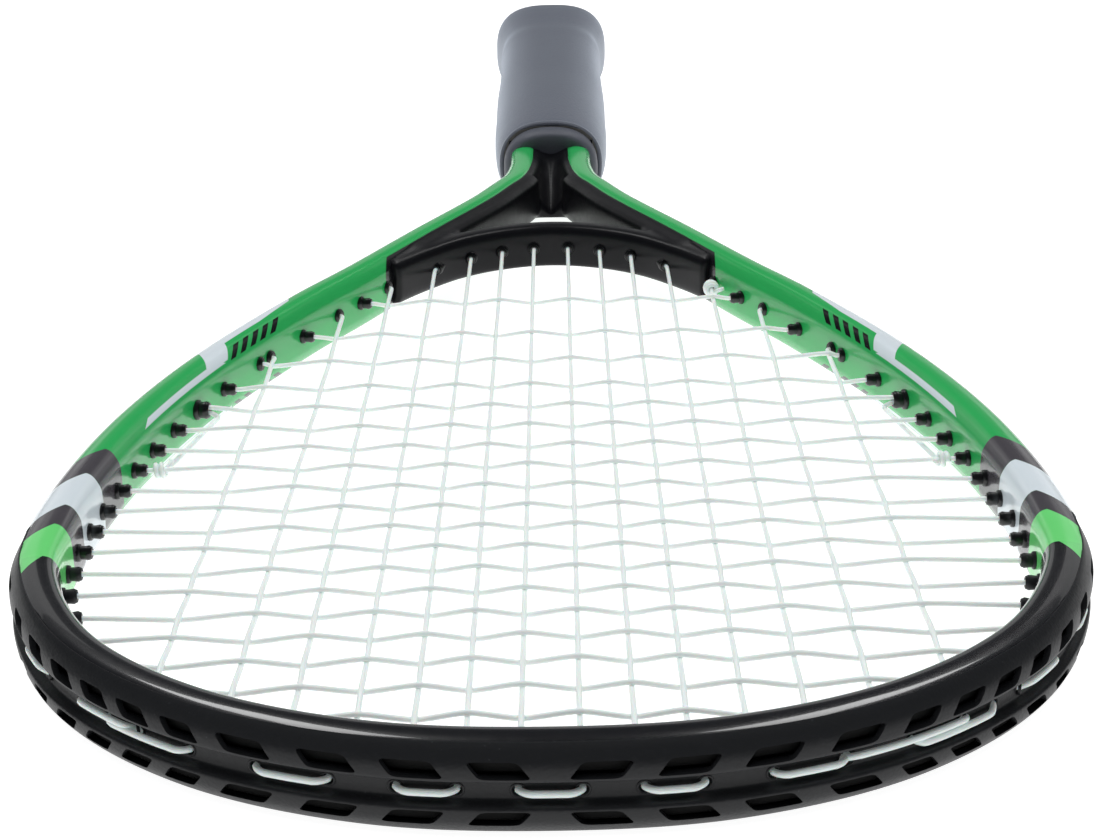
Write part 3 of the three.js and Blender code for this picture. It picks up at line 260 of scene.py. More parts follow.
class Build:
    """Collects the vertices and faces of one piece."""

    def __init__(self):
        self.points = []
        self.faces = []

    def add(self, points, faces):
        """Adds a body given by its points and faces."""
        start = len(self.points)
        self.points.extend(tuple(float(v) for v in p) for p in points)
        self.faces.extend(tuple(start + i for i in face) for face in faces)

    def loft(self, rings, closed=False):
        """Skins rings that all have as many points; closed joins the last ring to the first."""
        side = len(rings[0])
        rows = len(rings)
        faces = []
        for i in range(rows if closed else rows - 1):
            low, high = i * side, ((i + 1) % rows) * side
            for j in range(side):
                k = (j + 1) % side
                faces.append((low + j, low + k, high + k, high + j))
        if not closed:
            faces.append(tuple(range(side))[::-1])
            faces.append(tuple((rows - 1) * side + j for j in range(side)))
        self.add([p for ring in rings for p in ring], faces)

    def sheet(self, rows):
        """Skins rows that all have as many points to an open sheet."""
        side = len(rows[0])
        faces = [(i * side + j, i * side + j + 1, (i + 1) * side + j + 1, (i + 1) * side + j)
                 for i in range(len(rows) - 1) for j in range(side - 1)]
        self.add([p for row in rows for p in row], faces)

    def tube(self, points, radius, sides):
        """A closed tube along points; a fourth number of a point is its own radius."""
        points = np.asarray(points, float)
        radii = points[:, 3] if points.shape[1] == 4 else np.full(len(points), radius)
        points = points[:, :3]
        steps = np.diff(points, axis=0)
        steps /= np.linalg.norm(steps, axis=1, keepdims=True)
        tangents = np.vstack([steps[:1], steps[1:] + steps[:-1], steps[-1:]])
        tangents /= np.linalg.norm(tangents, axis=1, keepdims=True)
        side = np.cross(tangents[0], ASKEW)
        angles = np.arange(sides) * 2 * math.pi / sides
        rings = []
        for point, tangent, radius in zip(points, tangents, radii):
            side = side - tangent * (side @ tangent)
            side /= np.linalg.norm(side)
            other = np.cross(tangent, side)
            rings.append([point + radius * (math.cos(a) * side + math.sin(a) * other) for a in angles])
        self.loft(rings)

    def lathe(self, profile, origin, axis, steps):
        """A closed ring of (distance along the axis, radius) points turned about the axis."""
        axis = np.asarray(axis, float)
        side = np.cross(axis, (0, 0, 1))
        side /= np.linalg.norm(side)
        other = np.cross(axis, side)
        rings = []
        for k in range(steps):
            angle = 2 * math.pi * k / steps
            spoke = math.cos(angle) * side + math.sin(angle) * other
            rings.append([np.asarray(origin) + axis * along + spoke * radius for along, radius in profile])
        self.loft(rings, closed=True)

    def piece(self, name):
        """Makes the mesh object, smooth, with its faces turned outward."""
        mesh = bpy.data.meshes.new(name)
        mesh.from_pydata(self.points, [], self.faces)
        mesh.validate()
        made = bpy.data.objects.new(name, mesh)
        bpy.context.scene.collection.objects.link(made)
        outward(made)
        return made


def outward(made):
    """Turns the faces of every closed body outward and shades the mesh smooth."""
    work = bmesh.new()
    work.from_mesh(made.data)
    bmesh.ops.recalc_face_normals(work, faces=work.faces)
    work.to_mesh(made.data)
    work.free()
    made.data.shade_smooth()


def sharpen(made, degrees):
    """Marks edges that turn by more than an angle as sharp."""
    made.data.set_sharp_from_angle(angle=math.radians(degrees))


def settle(made):
    """Applies the modifiers of a piece."""
    graph = bpy.context.evaluated_depsgraph_get()
    graph.update()
    done = bpy.data.meshes.new_from_object(made.evaluated_get(graph))
    old = made.data
    made.modifiers.clear()
    made.data = done
    bpy.data.meshes.remove(old)


def finish_piece(made, material, slot, *nodes):
    """Gives a piece its material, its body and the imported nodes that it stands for."""
    made.data.materials.clear()
    made.data.materials.append(material)
    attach(made, BODY)
    if nodes:
        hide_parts(*nodes)
    return made


# Rails: plane curves with points beside them


class Rail:
    """A plane curve with places from 0 to 1 along it; across is outward, up is +Z."""

    def __init__(self, corners, outward_sign):
        corners = np.asarray(corners, float)
        corners = np.vstack([2 * corners[0] - corners[1], corners, 2 * corners[-1] - corners[-2]])
        w = np.arange(SPAN_STEPS)[:, None] / SPAN_STEPS
        points, tangents = [], []
        for before, start, end, after in zip(corners, corners[1:], corners[2:], corners[3:]):
            gaps = [math.sqrt(np.linalg.norm(b - a)) for a, b in ((before, start), (start, end), (end, after))]
            leave = (start - before) / gaps[0] - (end - before) / (gaps[0] + gaps[1]) + (end - start) / gaps[1]
            arrive = (end - start) / gaps[1] - (after - start) / (gaps[1] + gaps[2]) + (after - end) / gaps[2]
            leave, arrive = leave * gaps[1], arrive * gaps[1]
            square = -3 * start + 3 * end - 2 * leave - arrive
            cube = 2 * start - 2 * end + leave + arrive
            points.append(start + leave * w + square * w ** 2 + cube * w ** 3)
            tangents.append(leave + 2 * square * w + 3 * cube * w ** 2)
        points.append(corners[-2][None])
        tangents.append(tangents[-1][-1:])
        self.points = np.vstack(points)
        tangents = np.vstack(tangents)
        self.tangents = tangents / np.linalg.norm(tangents, axis=1, keepdims=True)
        runs = np.linalg.norm(np.diff(self.points, axis=0), axis=1)
        self.run = np.concatenate([[0], np.cumsum(runs)])
        self.length = float(self.run[-1])
        self.outward_sign = outward_sign

    def _look_up(self, t, table):
        place = np.clip(t, 0, 1) * self.length
        return np.array([np.interp(place, self.run, table[:, 0]), np.interp(place, self.run, table[:, 1]), 0.0])

    def tangent(self, t):
        """Unit direction of the rail at a place."""
        found = self._look_up(t, self.tangents)
        return found / np.linalg.norm(found)

    def normal(self, t):
        """Unit direction outward at a place."""
        ahead = self.tangent(t)
        return np.array([ahead[1], -ahead[0], 0.0]) * self.outward_sign

    def at(self, t, across=0.0, up=0.0):
        """A point beside the rail."""
        point = self._look_up(t, self.points) + self.normal(t) * across
        point[2] = up
        return point

    def beside(self, point):
        """The place on the rail that a point lies beside, and how far from it."""
        offsets = np.asarray(point)[:2] - self.points
        nearest = int(np.argmin((offsets ** 2).sum(1)))
        ahead = float(offsets[nearest] @ self.tangents[nearest])
        distance = math.sqrt(max(0.0, float(offsets[nearest] @ offsets[nearest]) - ahead ** 2))
        return (self.run[nearest] + ahead) / self.length, distance


def squared_circle(steps, power):
    """Points of a circle of radius 1, pulled out towards a square by a power below 1."""
    points = []
    for k in range(steps):
        angle = 2 * math.pi * k / steps
        points.append([math.copysign(abs(v) ** power, v) for v in (math.cos(angle), math.sin(angle))])
    return points


def solve(low, high, measure):
    """The number between low and high at which a measure changes sign."""
    rising = measure(high) > measure(low)
    for _ in range(40):
        middle = (low + high) / 2
        if (measure(middle) > 0) == rising:
            high = middle
        else:
            low = middle
    return (low + high) / 2


def mirrored(half):
    """A symmetrical line from its right half, which starts on the middle."""
    return [(-x, y) for x, y in half[:0:-1]] + list(half)


def frame_rail():
    """The tube's centre line, from the left shaft's end round the tip to the right one's."""
    s = bpy.context.scene.racket_frame
    tip = s.overall - TIP_INSET
    arm_top = tip - s.head_length
    half = [(x * s.head_half_width, y * s.head_length - tip) for x, y in HEAD_SHARES]
    half += [(s.shaft_offset + x * (s.arm_half_spread - s.shaft_offset), y * s.throat_length - arm_top)
             for x, y in ARM_SHARES]
    half += [(s.shaft_offset, s.throat_length - arm_top - s.shaft_bend),
             (s.shaft_offset, (s.throat_length - arm_top - s.shaft_inset) / 2),
             (s.shaft_offset, -s.shaft_inset)]
    return Rail(mirrored(half), 1)


def bridge_rail():
    """The bridge's centre line, from the left foot to the right one; outward is to the handle."""
    s = bpy.context.scene.racket_frame
    half = [(x * s.bridge_half_span, -s.bridge_rise - y * s.bridge_sag) for x, y in BRIDGE_SHARES]
    return Rail(mirrored(half), -1)


class Section:
    """Half of the tube's section as a smooth line, with its length from the inner side."""

    def __init__(self, shares=SECTION_SHARES):
        s = bpy.context.scene.racket_frame
        line = Rail([(x * s.half_width, y * s.half_height) for x, y in shares], 1)
        self.points = line.points
        self.run = line.run
        self.normals = np.column_stack([-line.tangents[:, 1], line.tangents[:, 0]])
        self.length = line.length

    def at(self, around, proud=0.0):
        """(across, up) of the place that far round the section, standing proud of it."""
        point = np.array([np.interp(around, self.run, self.points[:, k]) for k in (0, 1)])
        normal = np.array([np.interp(around, self.run, self.normals[:, k]) for k in (0, 1)])
        return point + normal / np.linalg.norm(normal) * proud

    def beside(self, across):
        """How far round the section its upper side reaches that distance across."""
        crown = int(np.argmax(self.points[:, 1]))
        return float(np.interp(across, self.points[crown // 2:, 0], self.run[crown // 2:]))


class Skin:
    """The tube's section as it changes along the frame."""

    def __init__(self):
        self.plain, self.tip = Section(), Section(TIP_SHARES)

    def at(self, from_tip, around, proud=0.0):
        """(across, up) at a distance from the tip, that far round the plain section."""
        fuller = float(np.clip((170 * MM - from_tip) / (60 * MM), 0, 1))
        plain = self.plain.at(around, proud)
        return plain * (1 - fuller) + self.tip.at(around * self.tip.length / self.plain.length, proud) * fuller


def lip_of_guard(place):
    """How far round the section the guard's lip lies, at a distance from the tip."""
    return float(np.interp(abs(place) / MM, LIP_PLACES, LIP_ROUNDS)) * MM


# String ends: a place on a rail and the axis of the barrel there


def string_end(rail, along, lean, reach, low, high, off_by):
    """A string's way through the frame: its barrel leans from the normal towards the string."""
    s, t = bpy.context.scene.racket_frame, bpy.context.scene.racket_strings
    on_bridge = rail.outward_sign < 0
    half_width = s.bridge_half_width if on_bridge else s.half_width
    seat = s.bridge_half_width if on_bridge else s.channel_floor
    floor = seat + STRIP_GAP + t.strip_thickness + t.loop_gap + t.diameter / 2
    along = np.asarray(along, float)

    def axis_at(place):
        axis = rail.normal(place) * (1 - lean) + along * lean
        return axis / np.linalg.norm(axis)

    def face_at(place):
        return -half_width / float(axis_at(place) @ rail.normal(place))

    def mouth_at(place):
        return rail.at(place) + axis_at(place) * (face_at(place) - reach - 0.5 * MM)

    place = solve(low, high, lambda p: off_by(mouth_at(p)))
    centre, axis = rail.at(place), axis_at(place)
    outer = solve(0, 2 * floor, lambda d: rail.beside(centre + axis * d)[1] - floor)
    return SimpleNamespace(
        rail=rail, axis=axis, centre=centre, face=face_at(place), inner=face_at(place) - reach,
        mouth=mouth_at(place), outer=outer, outer_t=rail.beside(centre + axis * outer)[0],
        floor=floor, shared="")


def string_ends():
    """All the ends: mains from the left, crosses from the throat."""
    s, t = bpy.context.scene.racket_frame, bpy.context.scene.racket_strings
    tube, bridge = frame_rail(), bridge_rail()
    tip_y = TIP_INSET - s.overall
    arm_y = tip_y + s.head_length
    widest = solve(0.5, 0.62, lambda p: tube.at(p)[1] - tip_y - s.head_length * 0.36)
    arm_limit = solve(0.8, 0.6, lambda p: tube.at(p)[1] - arm_y - s.head_length * 0.08)
    half = [x * MM for x in MAIN_HALF_PLACES]

    def side_place(place, side):
        return place if side > 0 else 1 - place

    def main_end(x, at_tip):
        side = 1 if x > 0 else -1
        along = (0, -1 if at_tip else 1, 0)
        off_by = lambda p: side * (p[0] - x)
        if not at_tip and abs(x) < half[4] - 0.3 * MM:
            lean = 1.5 if abs(x) > half[2] + 0.3 * MM else 1
            return string_end(bridge, along, lean, t.bridge_reach, 0, 1, off_by)
        outermost = abs(x) > half[4] + 0.3 * MM
        reach = t.short_reach if outermost or not at_tip else t.reach
        low = side_place(0.5 if at_tip else arm_limit, side)
        return string_end(tube, along, 0, reach, low, side_place(widest, side), off_by)

    def cross_end(y, side, reach):
        off_by = lambda p: p[1] - y
        return string_end(tube, (side, 0, 0), 0.65, reach, side_place(0.5, side), side_place(arm_limit, side), off_by)

    mains = [SimpleNamespace(x=x, tip=main_end(x, True), throat=main_end(x, False))
             for x in [-x for x in half[::-1]] + half]
    crosses = []
    for k, place in enumerate(CROSS_PLACES):
        reach = t.reach
        if k in SHORT_CROSSES:
            reach = t.short_reach
        if k in FLUSH_CROSSES:
            reach = t.flush_reach
        y = -place * MM
        crosses.append(SimpleNamespace(y=y, left=cross_end(y, -1, reach), right=cross_end(y, 1, reach)))
    crosses[TAIL_CROSS].left.shared = crosses[TAIL_CROSS].right.shared = "high"
    mains[TIED_MAIN].tip.shared = "wide"
    return mains, crosses


# String paths


def through(end, side):
    """The inner and outer point of a string in a grommet; one that shares it keeps to its side."""
    shift = np.zeros(3)
    if end.shared == "high":
        shift[2] = side * SHARED_SHIFT
    if end.shared == "wide":
        shift = np.array([end.axis[1], -end.axis[0], 0]) * side * SHARED_SHIFT
    return end.mouth + shift, end.centre + end.axis * (end.outer - 1.3 * MM) + shift


def outside_loop(start, end, lane):
    """The way along the outside of the frame from one grommet to the next, fuller than the bed."""
    t = bpy.context.scene.racket_strings
    run = abs(end.outer_t - start.outer_t) * start.rail.length
    ease = t.loop_ease
    places = [0, 0.25 * ease, 0.6 * ease, ease]
    places += list(np.linspace(ease, run - ease, max(2, round((run - 2 * ease) / (4 * MM))) + 1)[1:-1])
    places += [run - ease, run - 0.6 * ease, run - 0.25 * ease, run]
    points = []
    for place in places:
        near = max(0.0, 1 - min(place, run - place) / ease)
        across = start.floor + t.loop_rise - t.loop_dive * near ** 2
        along = start.outer_t + (end.outer_t - start.outer_t) * place / run
        point = start.rail.at(along, across, lane * (1 - near ** 2))
        points.append(np.append(point, t.loop_radius))
    return points


def woven(start, end, crossings, axis):
    """A string between its two grommets, rising and sinking at the crossings."""
    keys = [(start[axis], start[2])] + crossings + [(end[axis], end[2])]
    if end[axis] < start[axis]:
        keys = [keys[0]] + crossings[::-1] + [keys[-1]]
    points = []
    for (here, low), (there, high) in zip(keys, keys[1:]):
        for step in range(6):
            part = step / 6
            swing = 0.65 * part + 0.175 * (1 - math.cos(math.pi * part))
            place = here + (there - here) * part
            run = (place - start[axis]) / (end[axis] - start[axis])
            point = start + (end - start) * run
            point[2] = low + (high - low) * swing
            points.append(point)
    points.append(np.array(end))
    return points


def rounded(points, run):
    """Replaces sharp corners of a path by small arcs."""
    points = [np.asarray(p, float) for p in points]
    kept = [points[0]]
    for p in points[1:]:
        if np.linalg.norm(p - kept[-1]) > 0.05 * MM:
            kept.append(p)
    result = [kept[0]]
    for before, corner, after in zip(kept, kept[1:], kept[2:]):
        back, ahead = before - corner, after - corner
        long_back, long_ahead = np.linalg.norm(back), np.linalg.norm(ahead)
        turn = math.pi - math.acos(np.clip(back @ ahead / long_back / long_ahead, -1, 1))
        if turn < math.radians(14):
            result.append(corner)
            continue
        start = corner + back / long_back * min(run, 0.45 * long_back)
        end = corner + ahead / long_ahead * min(run, 0.45 * long_ahead)
        for w in np.linspace(0, 1, 6):
            result.append(start * (1 - w) ** 2 + corner * 2 * w * (1 - w) + end * w ** 2)
    return result + [kept[-1]]


def weave_sign(i, k):
    """Whether main i lies under (plus) or over (minus) cross k."""
    return -1 if (i + k) % 2 == 0 else 1


def main_path(mains, crosses):
    """One unbroken length: the left strand, all the mains, the right strand."""
    t = bpy.context.scene.racket_strings
    path = tail(crosses, "left", -1)
    path += outside_loop(crosses[TAIL_CROSS].left, mains[0].throat, -t.lane)
    for i, main in enumerate(mains):
        to_tip = i % 2 == 0
        first, last = (main.throat, main.tip) if to_tip else (main.tip, main.throat)
        (start, start_out), (end, end_out) = through(first, 1), through(last, 1)
        crossings = [(c.y, -weave_sign(i, k) * t.main_wave) for k, c in enumerate(crosses)
                     if c.left.mouth[0] + CLEAR_OF_MOUTH < main.x < c.right.mouth[0] - CLEAR_OF_MOUTH]
        crossings.sort()
        path += [start_out] + woven(start, end, crossings, 1) + [end_out]
        if i + 1 < len(mains):
            following = mains[i + 1].tip if to_tip else mains[i + 1].throat
            alone = to_tip and i < TIED_MAIN
            path += outside_loop(last, following, -t.tip_lane if alone else -t.lane)
    path += outside_loop(mains[-1].throat, crosses[TAIL_CROSS].right, -t.lane)
    return with_radius(path + tail(crosses, "right", 1)[::-1])


def with_radius(path):
    """The same points, each with the string's radius as its fourth number."""
    t = bpy.context.scene.racket_strings
    return [point if len(point) == 4 else np.append(point, t.diameter / 2) for point in path]


def tail(crosses, key, side):
    """A side strand, from its knot to the shared grommet."""
    t = bpy.context.scene.racket_strings
    near, near_out = through(getattr(crosses[TAIL_CROSS], key), -1)
    knot = getattr(crosses[TIED_CROSS], key).mouth + np.array([-side * 2.3, 3, 0]) * MM
    knot[2] = -t.strand_height
    turn = near + np.array([-side * 1.6 * MM, 0, 0])
    turn[2] = -t.strand_height
    return [knot, turn, near, near_out]


def cross_path(mains, crosses):
    """One unbroken length: from the tip down to the throat."""
    t = bpy.context.scene.racket_strings
    start, start_out = through(mains[TIED_MAIN].tip, -1)
    path = [start, start_out]
    path += outside_loop(mains[TIED_MAIN].tip, crosses[-1].right, t.lane)
    for k in range(len(crosses) - 1, -1, -1):
        leftward = (len(crosses) - 1 - k) % 2 == 0
        cross = crosses[k]
        first, last = (cross.right, cross.left) if leftward else (cross.left, cross.right)
        (begin, begin_out), (end, end_out) = through(first, 1), through(last, 1)
        crossings = [(m.x, weave_sign(i, k) * t.cross_wave) for i, m in enumerate(mains)
                     if cross.left.mouth[0] + CLEAR_OF_MOUTH < m.x < cross.right.mouth[0] - CLEAR_OF_MOUTH]
        path += [begin_out] + woven(begin, end, crossings, 0) + [end_out]
        if k > 0:
            following = crosses[k - 1].left if leftward else crosses[k - 1].right
            path += outside_loop(last, following, t.lane)
    end = crosses[0].left
    path += [end.rail.at(end.outer_t - run * MM / end.rail.length, end.floor, t.lane) for run in (2, 6)]
    return with_radius(path)


# Grommets


def add_barrel(build, end, depth):
    """One barrel with its flange on the tube, its rounded mouth and its bore."""
    t = bpy.context.scene.racket_strings
    radius = t.shared_radius if end.shared else t.barrel_radius
    bore = t.bore_radius * (1.85 if end.shared else 1)
    flange = t.flange_radius + (radius - t.barrel_radius)
    face, mouth = end.face, end.inner
    root = end.outer - depth
    base = max(mouth + 0.15 * MM, face - t.flange_height)
    tip = radius * 0.93
    rim = 0.55 * (tip - bore)
    profile = [
        (root, bore), (root, radius), (face + 0.5 * MM, radius), (face + 0.5 * MM, flange * 0.96),
        (face, flange), (base + 0.2 * MM, flange * 0.98), (base, flange * 0.9), (base - 0.05 * MM, radius * 0.92),
        (0.65 * base + 0.35 * mouth, radius * 0.95), (0.3 * base + 0.7 * mouth, radius * 1.02),
        (mouth + 1.3 * rim, tip), (mouth + 0.25 * rim, tip - 0.4 * rim), (mouth, tip - rim),
        (mouth, bore + 0.3 * rim), (mouth + 0.5 * rim, bore),
    ]
    build.lathe(profile, end.centre, end.axis, 20)


def eyelet_bore(end):
    """Radius of the hole that a string comes out of."""
    t = bpy.context.scene.racket_strings
    return t.bore_radius * (1.9 if end.shared else 1.35)


def add_eyelet(build, end, floor):
    """A raised ring round a bore's outer end."""
    t = bpy.context.scene.racket_strings
    bore = eyelet_bore(end)
    wide = bore + 0.4 * MM
    reach = end.outer - floor
    profile = [(reach - 0.4 * MM, bore), (reach - 0.4 * MM, wide), (reach + 0.06 * MM, wide),
               (reach + 0.16 * MM, wide - 0.12 * MM), (reach + 0.16 * MM, bore + 0.1 * MM), (reach + 0.06 * MM, bore)]
    build.lathe(profile, end.centre, end.axis, 16)


def add_strip(build, rail, low, high, bottom):
    """The strip that joins the barrels, with rounded edges."""
    t = bpy.context.scene.racket_strings
    half, thick, edge = t.strip_half_width, t.strip_thickness, 0.25 * MM
    section = [
        (bottom, -half), (bottom + thick - edge, -half), (bottom + thick, edge - half),
        (bottom + thick, half - edge), (bottom + thick - edge, half), (bottom, half),
    ]
    steps = max(12, int((high - low) * rail.length / (2 * MM)))
    build.loft([[rail.at(p, across, up) for across, up in section] for p in np.linspace(low, high, steps)])


# Shader groups and material helpers


def feed(tree, socket, value):
    """Links a socket to another one, or gives it a plain value."""
    if isinstance(value, bpy.types.NodeSocket):
        tree.links.new(value, socket)
    else:
        socket.default_value = value


def put(tree, kind, inputs=None, **settings):
    """Adds a node, with its settings and what its inputs hold or are linked to."""
    node = tree.nodes.new(kind)
    for key, value in settings.items():
        setattr(node, key, value)
    for key, value in (inputs or {}).items():
        feed(tree, node.inputs[key], value)
    return node


def calc(tree, operation, *values):
    """A math node's result."""
    return put(tree, "ShaderNodeMath", dict(enumerate(values)), operation=operation).outputs[0]


def mix(tree, factor, first, second, blend="MIX"):
    """A mix of two colours."""
    return put(tree, "ShaderNodeMix", {0: factor, 6: first, 7: second}, data_type="RGBA", blend_type=blend).outputs[2]


def new_group(name, inputs, outputs):
    """An empty shader group with named number inputs and outputs."""
    tree = bpy.data.node_groups.new(name, "ShaderNodeTree")
    for title, default in inputs.items():
        socket = tree.interface.new_socket(title, in_out="INPUT", socket_type="NodeSocketFloat")
        socket.default_value = default
    for title in outputs:
        tree.interface.new_socket(title, in_out="OUTPUT", socket_type="NodeSocketFloat")
    return tree, tree.nodes.new("NodeGroupInput").outputs, tree.nodes.new("NodeGroupOutput").inputs


def grain_group():
    """Fine grain of a moulded or foamed surface: a height and a tone round 1."""
    name = "Surface grain"
    if name in bpy.data.node_groups:
        return bpy.data.node_groups[name]
    tree, given, result = new_group(name, {"Scale": 900, "Coarse": 60, "Variation": 0.1}, ("Height", "Tone"))
    place = put(tree, "ShaderNodeTexCoord").outputs["Object"]
    fine = put(tree, "ShaderNodeTexNoise", {"Vector": place, "Scale": given["Scale"], "Detail": 4, "Roughness": 0.6})
    cells = put(tree, "ShaderNodeTexVoronoi", {"Vector": place, "Scale": given["Scale"]})
    coarse = put(tree, "ShaderNodeTexNoise", {"Vector": place, "Scale": given["Coarse"], "Detail": 3})
    tree.links.new(calc(tree, "MULTIPLY", fine.outputs[0], cells.outputs[0]), result["Height"])
    uneven = calc(tree, "SUBTRACT", coarse.outputs[0], 0.5)
    tree.links.new(calc(tree, "MULTIPLY_ADD", uneven, given["Variation"], 1), result["Tone"])
    return tree


def marks_group():
    """Faint marks of handling: short streaks and specks of dust as a mask."""
    name = "Handling marks"
    if name in bpy.data.node_groups:
        return bpy.data.node_groups[name]
    tree, given, result = new_group(name, {"Scale": 120, "Amount": 0.3, "Specks": 0.0}, ("Mask",))
    place = put(tree, "ShaderNodeTexCoord").outputs["Object"]
    drawn = put(tree, "ShaderNodeMapping", {"Vector": place, "Rotation": (0.2, 0.3, 0.7), "Scale": (1, 7, 3)})
    streak = put(tree, "ShaderNodeTexNoise", {"Vector": drawn.outputs[0], "Scale": given["Scale"], "Detail": 6})
    streaks = put(tree, "ShaderNodeMapRange", {"Value": streak.outputs[0], "From Min": 0.6, "From Max": 0.74})
    dust = put(tree, "ShaderNodeTexVoronoi", {"Vector": place, "Scale": calc(tree, "MULTIPLY", given["Scale"], 4)})
    dots = put(tree, "ShaderNodeMapRange", {"Value": dust.outputs[0], "From Min": 0.16, "From Max": 0.08})
    sparse = put(tree, "ShaderNodeTexNoise", {"Vector": place, "Scale": given["Scale"], "Detail": 2})
    where = put(tree, "ShaderNodeMapRange", {"Value": sparse.outputs[0], "From Min": 0.6, "From Max": 0.66})
    specks = calc(tree, "MULTIPLY", calc(tree, "MULTIPLY", dots.outputs[0], where.outputs[0]), given["Specks"])
    both = calc(tree, "MAXIMUM", calc(tree, "MULTIPLY", streaks.outputs[0], given["Amount"]), specks)
    tree.links.new(both, result["Mask"])
    return tree


def band_group():
    """A painted band: 1 between two places, with soft edges."""
    name = "Painted band"
    if name in bpy.data.node_groups:
        return bpy.data.node_groups[name]
    inputs = {"Place": 0, "Start": 0, "End": 1, "Edge": 0.0001}
    tree, given, result = new_group(name, inputs, ("Mask",))
    ends = []
    for key in ("Start", "End"):
        low = calc(tree, "SUBTRACT", given[key], given["Edge"])
        high = calc(tree, "ADD", given[key], given["Edge"])
        step = put(tree, "ShaderNodeMapRange", {"Value": given["Place"], "From Min": low, "From Max": high})
        ends.append(step.outputs[0])
    tree.links.new(calc(tree, "SUBTRACT", ends[0], ends[1]), result["Mask"])
    return tree


def use_group(tree, group, **inputs):
    """Places a shader group with its values."""
    node = put(tree, "ShaderNodeGroup", node_tree=group)
    for key, value in inputs.items():
        feed(tree, node.inputs[key], value)
    return node.outputs


def rgba(value, tone=1.0):
    """A colour with its fourth number, made lighter or darker."""
    return tuple(min(1.0, v * tone) for v in value) + (1.0,)


def new_material(name, base, **finish):
    """A material with its shader's own sockets set; base is a colour."""
    material = bpy.data.materials.new(name)
    material.use_nodes = True
    tree = material.node_tree
    shader = tree.nodes["Principled BSDF"]
    shader.inputs["Base Color"].default_value = rgba(base)
    for key, value in finish.items():
        shader.inputs[key.replace("_", " ")].default_value = value
    return material, tree, shader


def link_bump(tree, shader, height, distance, strength=1.0):
    """A bump from a height that feeds the shader's normal."""
    bump = put(tree, "ShaderNodeBump", {"Height": height, "Distance": distance, "Strength": strength})
    tree.links.new(bump.outputs[0], shader.inputs["Normal"])


def grained(name, base, roughness, scale, bump, variation=0.12, marks=0.15, specks=0.0, light=1.8, **finish):
    """A plain moulded finish: grain in tone and bump, and marks that change gloss and tone."""
    material, tree, shader = new_material(name, base, Roughness=roughness, **finish)
    grain = use_group(tree, grain_group(), Scale=scale, Coarse=scale / 14, Variation=variation)
    worn = use_group(tree, marks_group(), Scale=scale / 8, Amount=marks, Specks=specks)
    toned = mix(tree, 1, rgba(base), grain["Tone"], "MULTIPLY")
    tree.links.new(mix(tree, worn["Mask"], toned, rgba(base, light)), shader.inputs["Base Color"])
    rough = calc(tree, "MULTIPLY_ADD", grain["Height"], 0.18, roughness - 0.05)
    tree.links.new(calc(tree, "MULTIPLY_ADD", worn["Mask"], 0.2, rough), shader.inputs["Roughness"])
    link_bump(tree, shader, grain["Height"], bump)
    return material


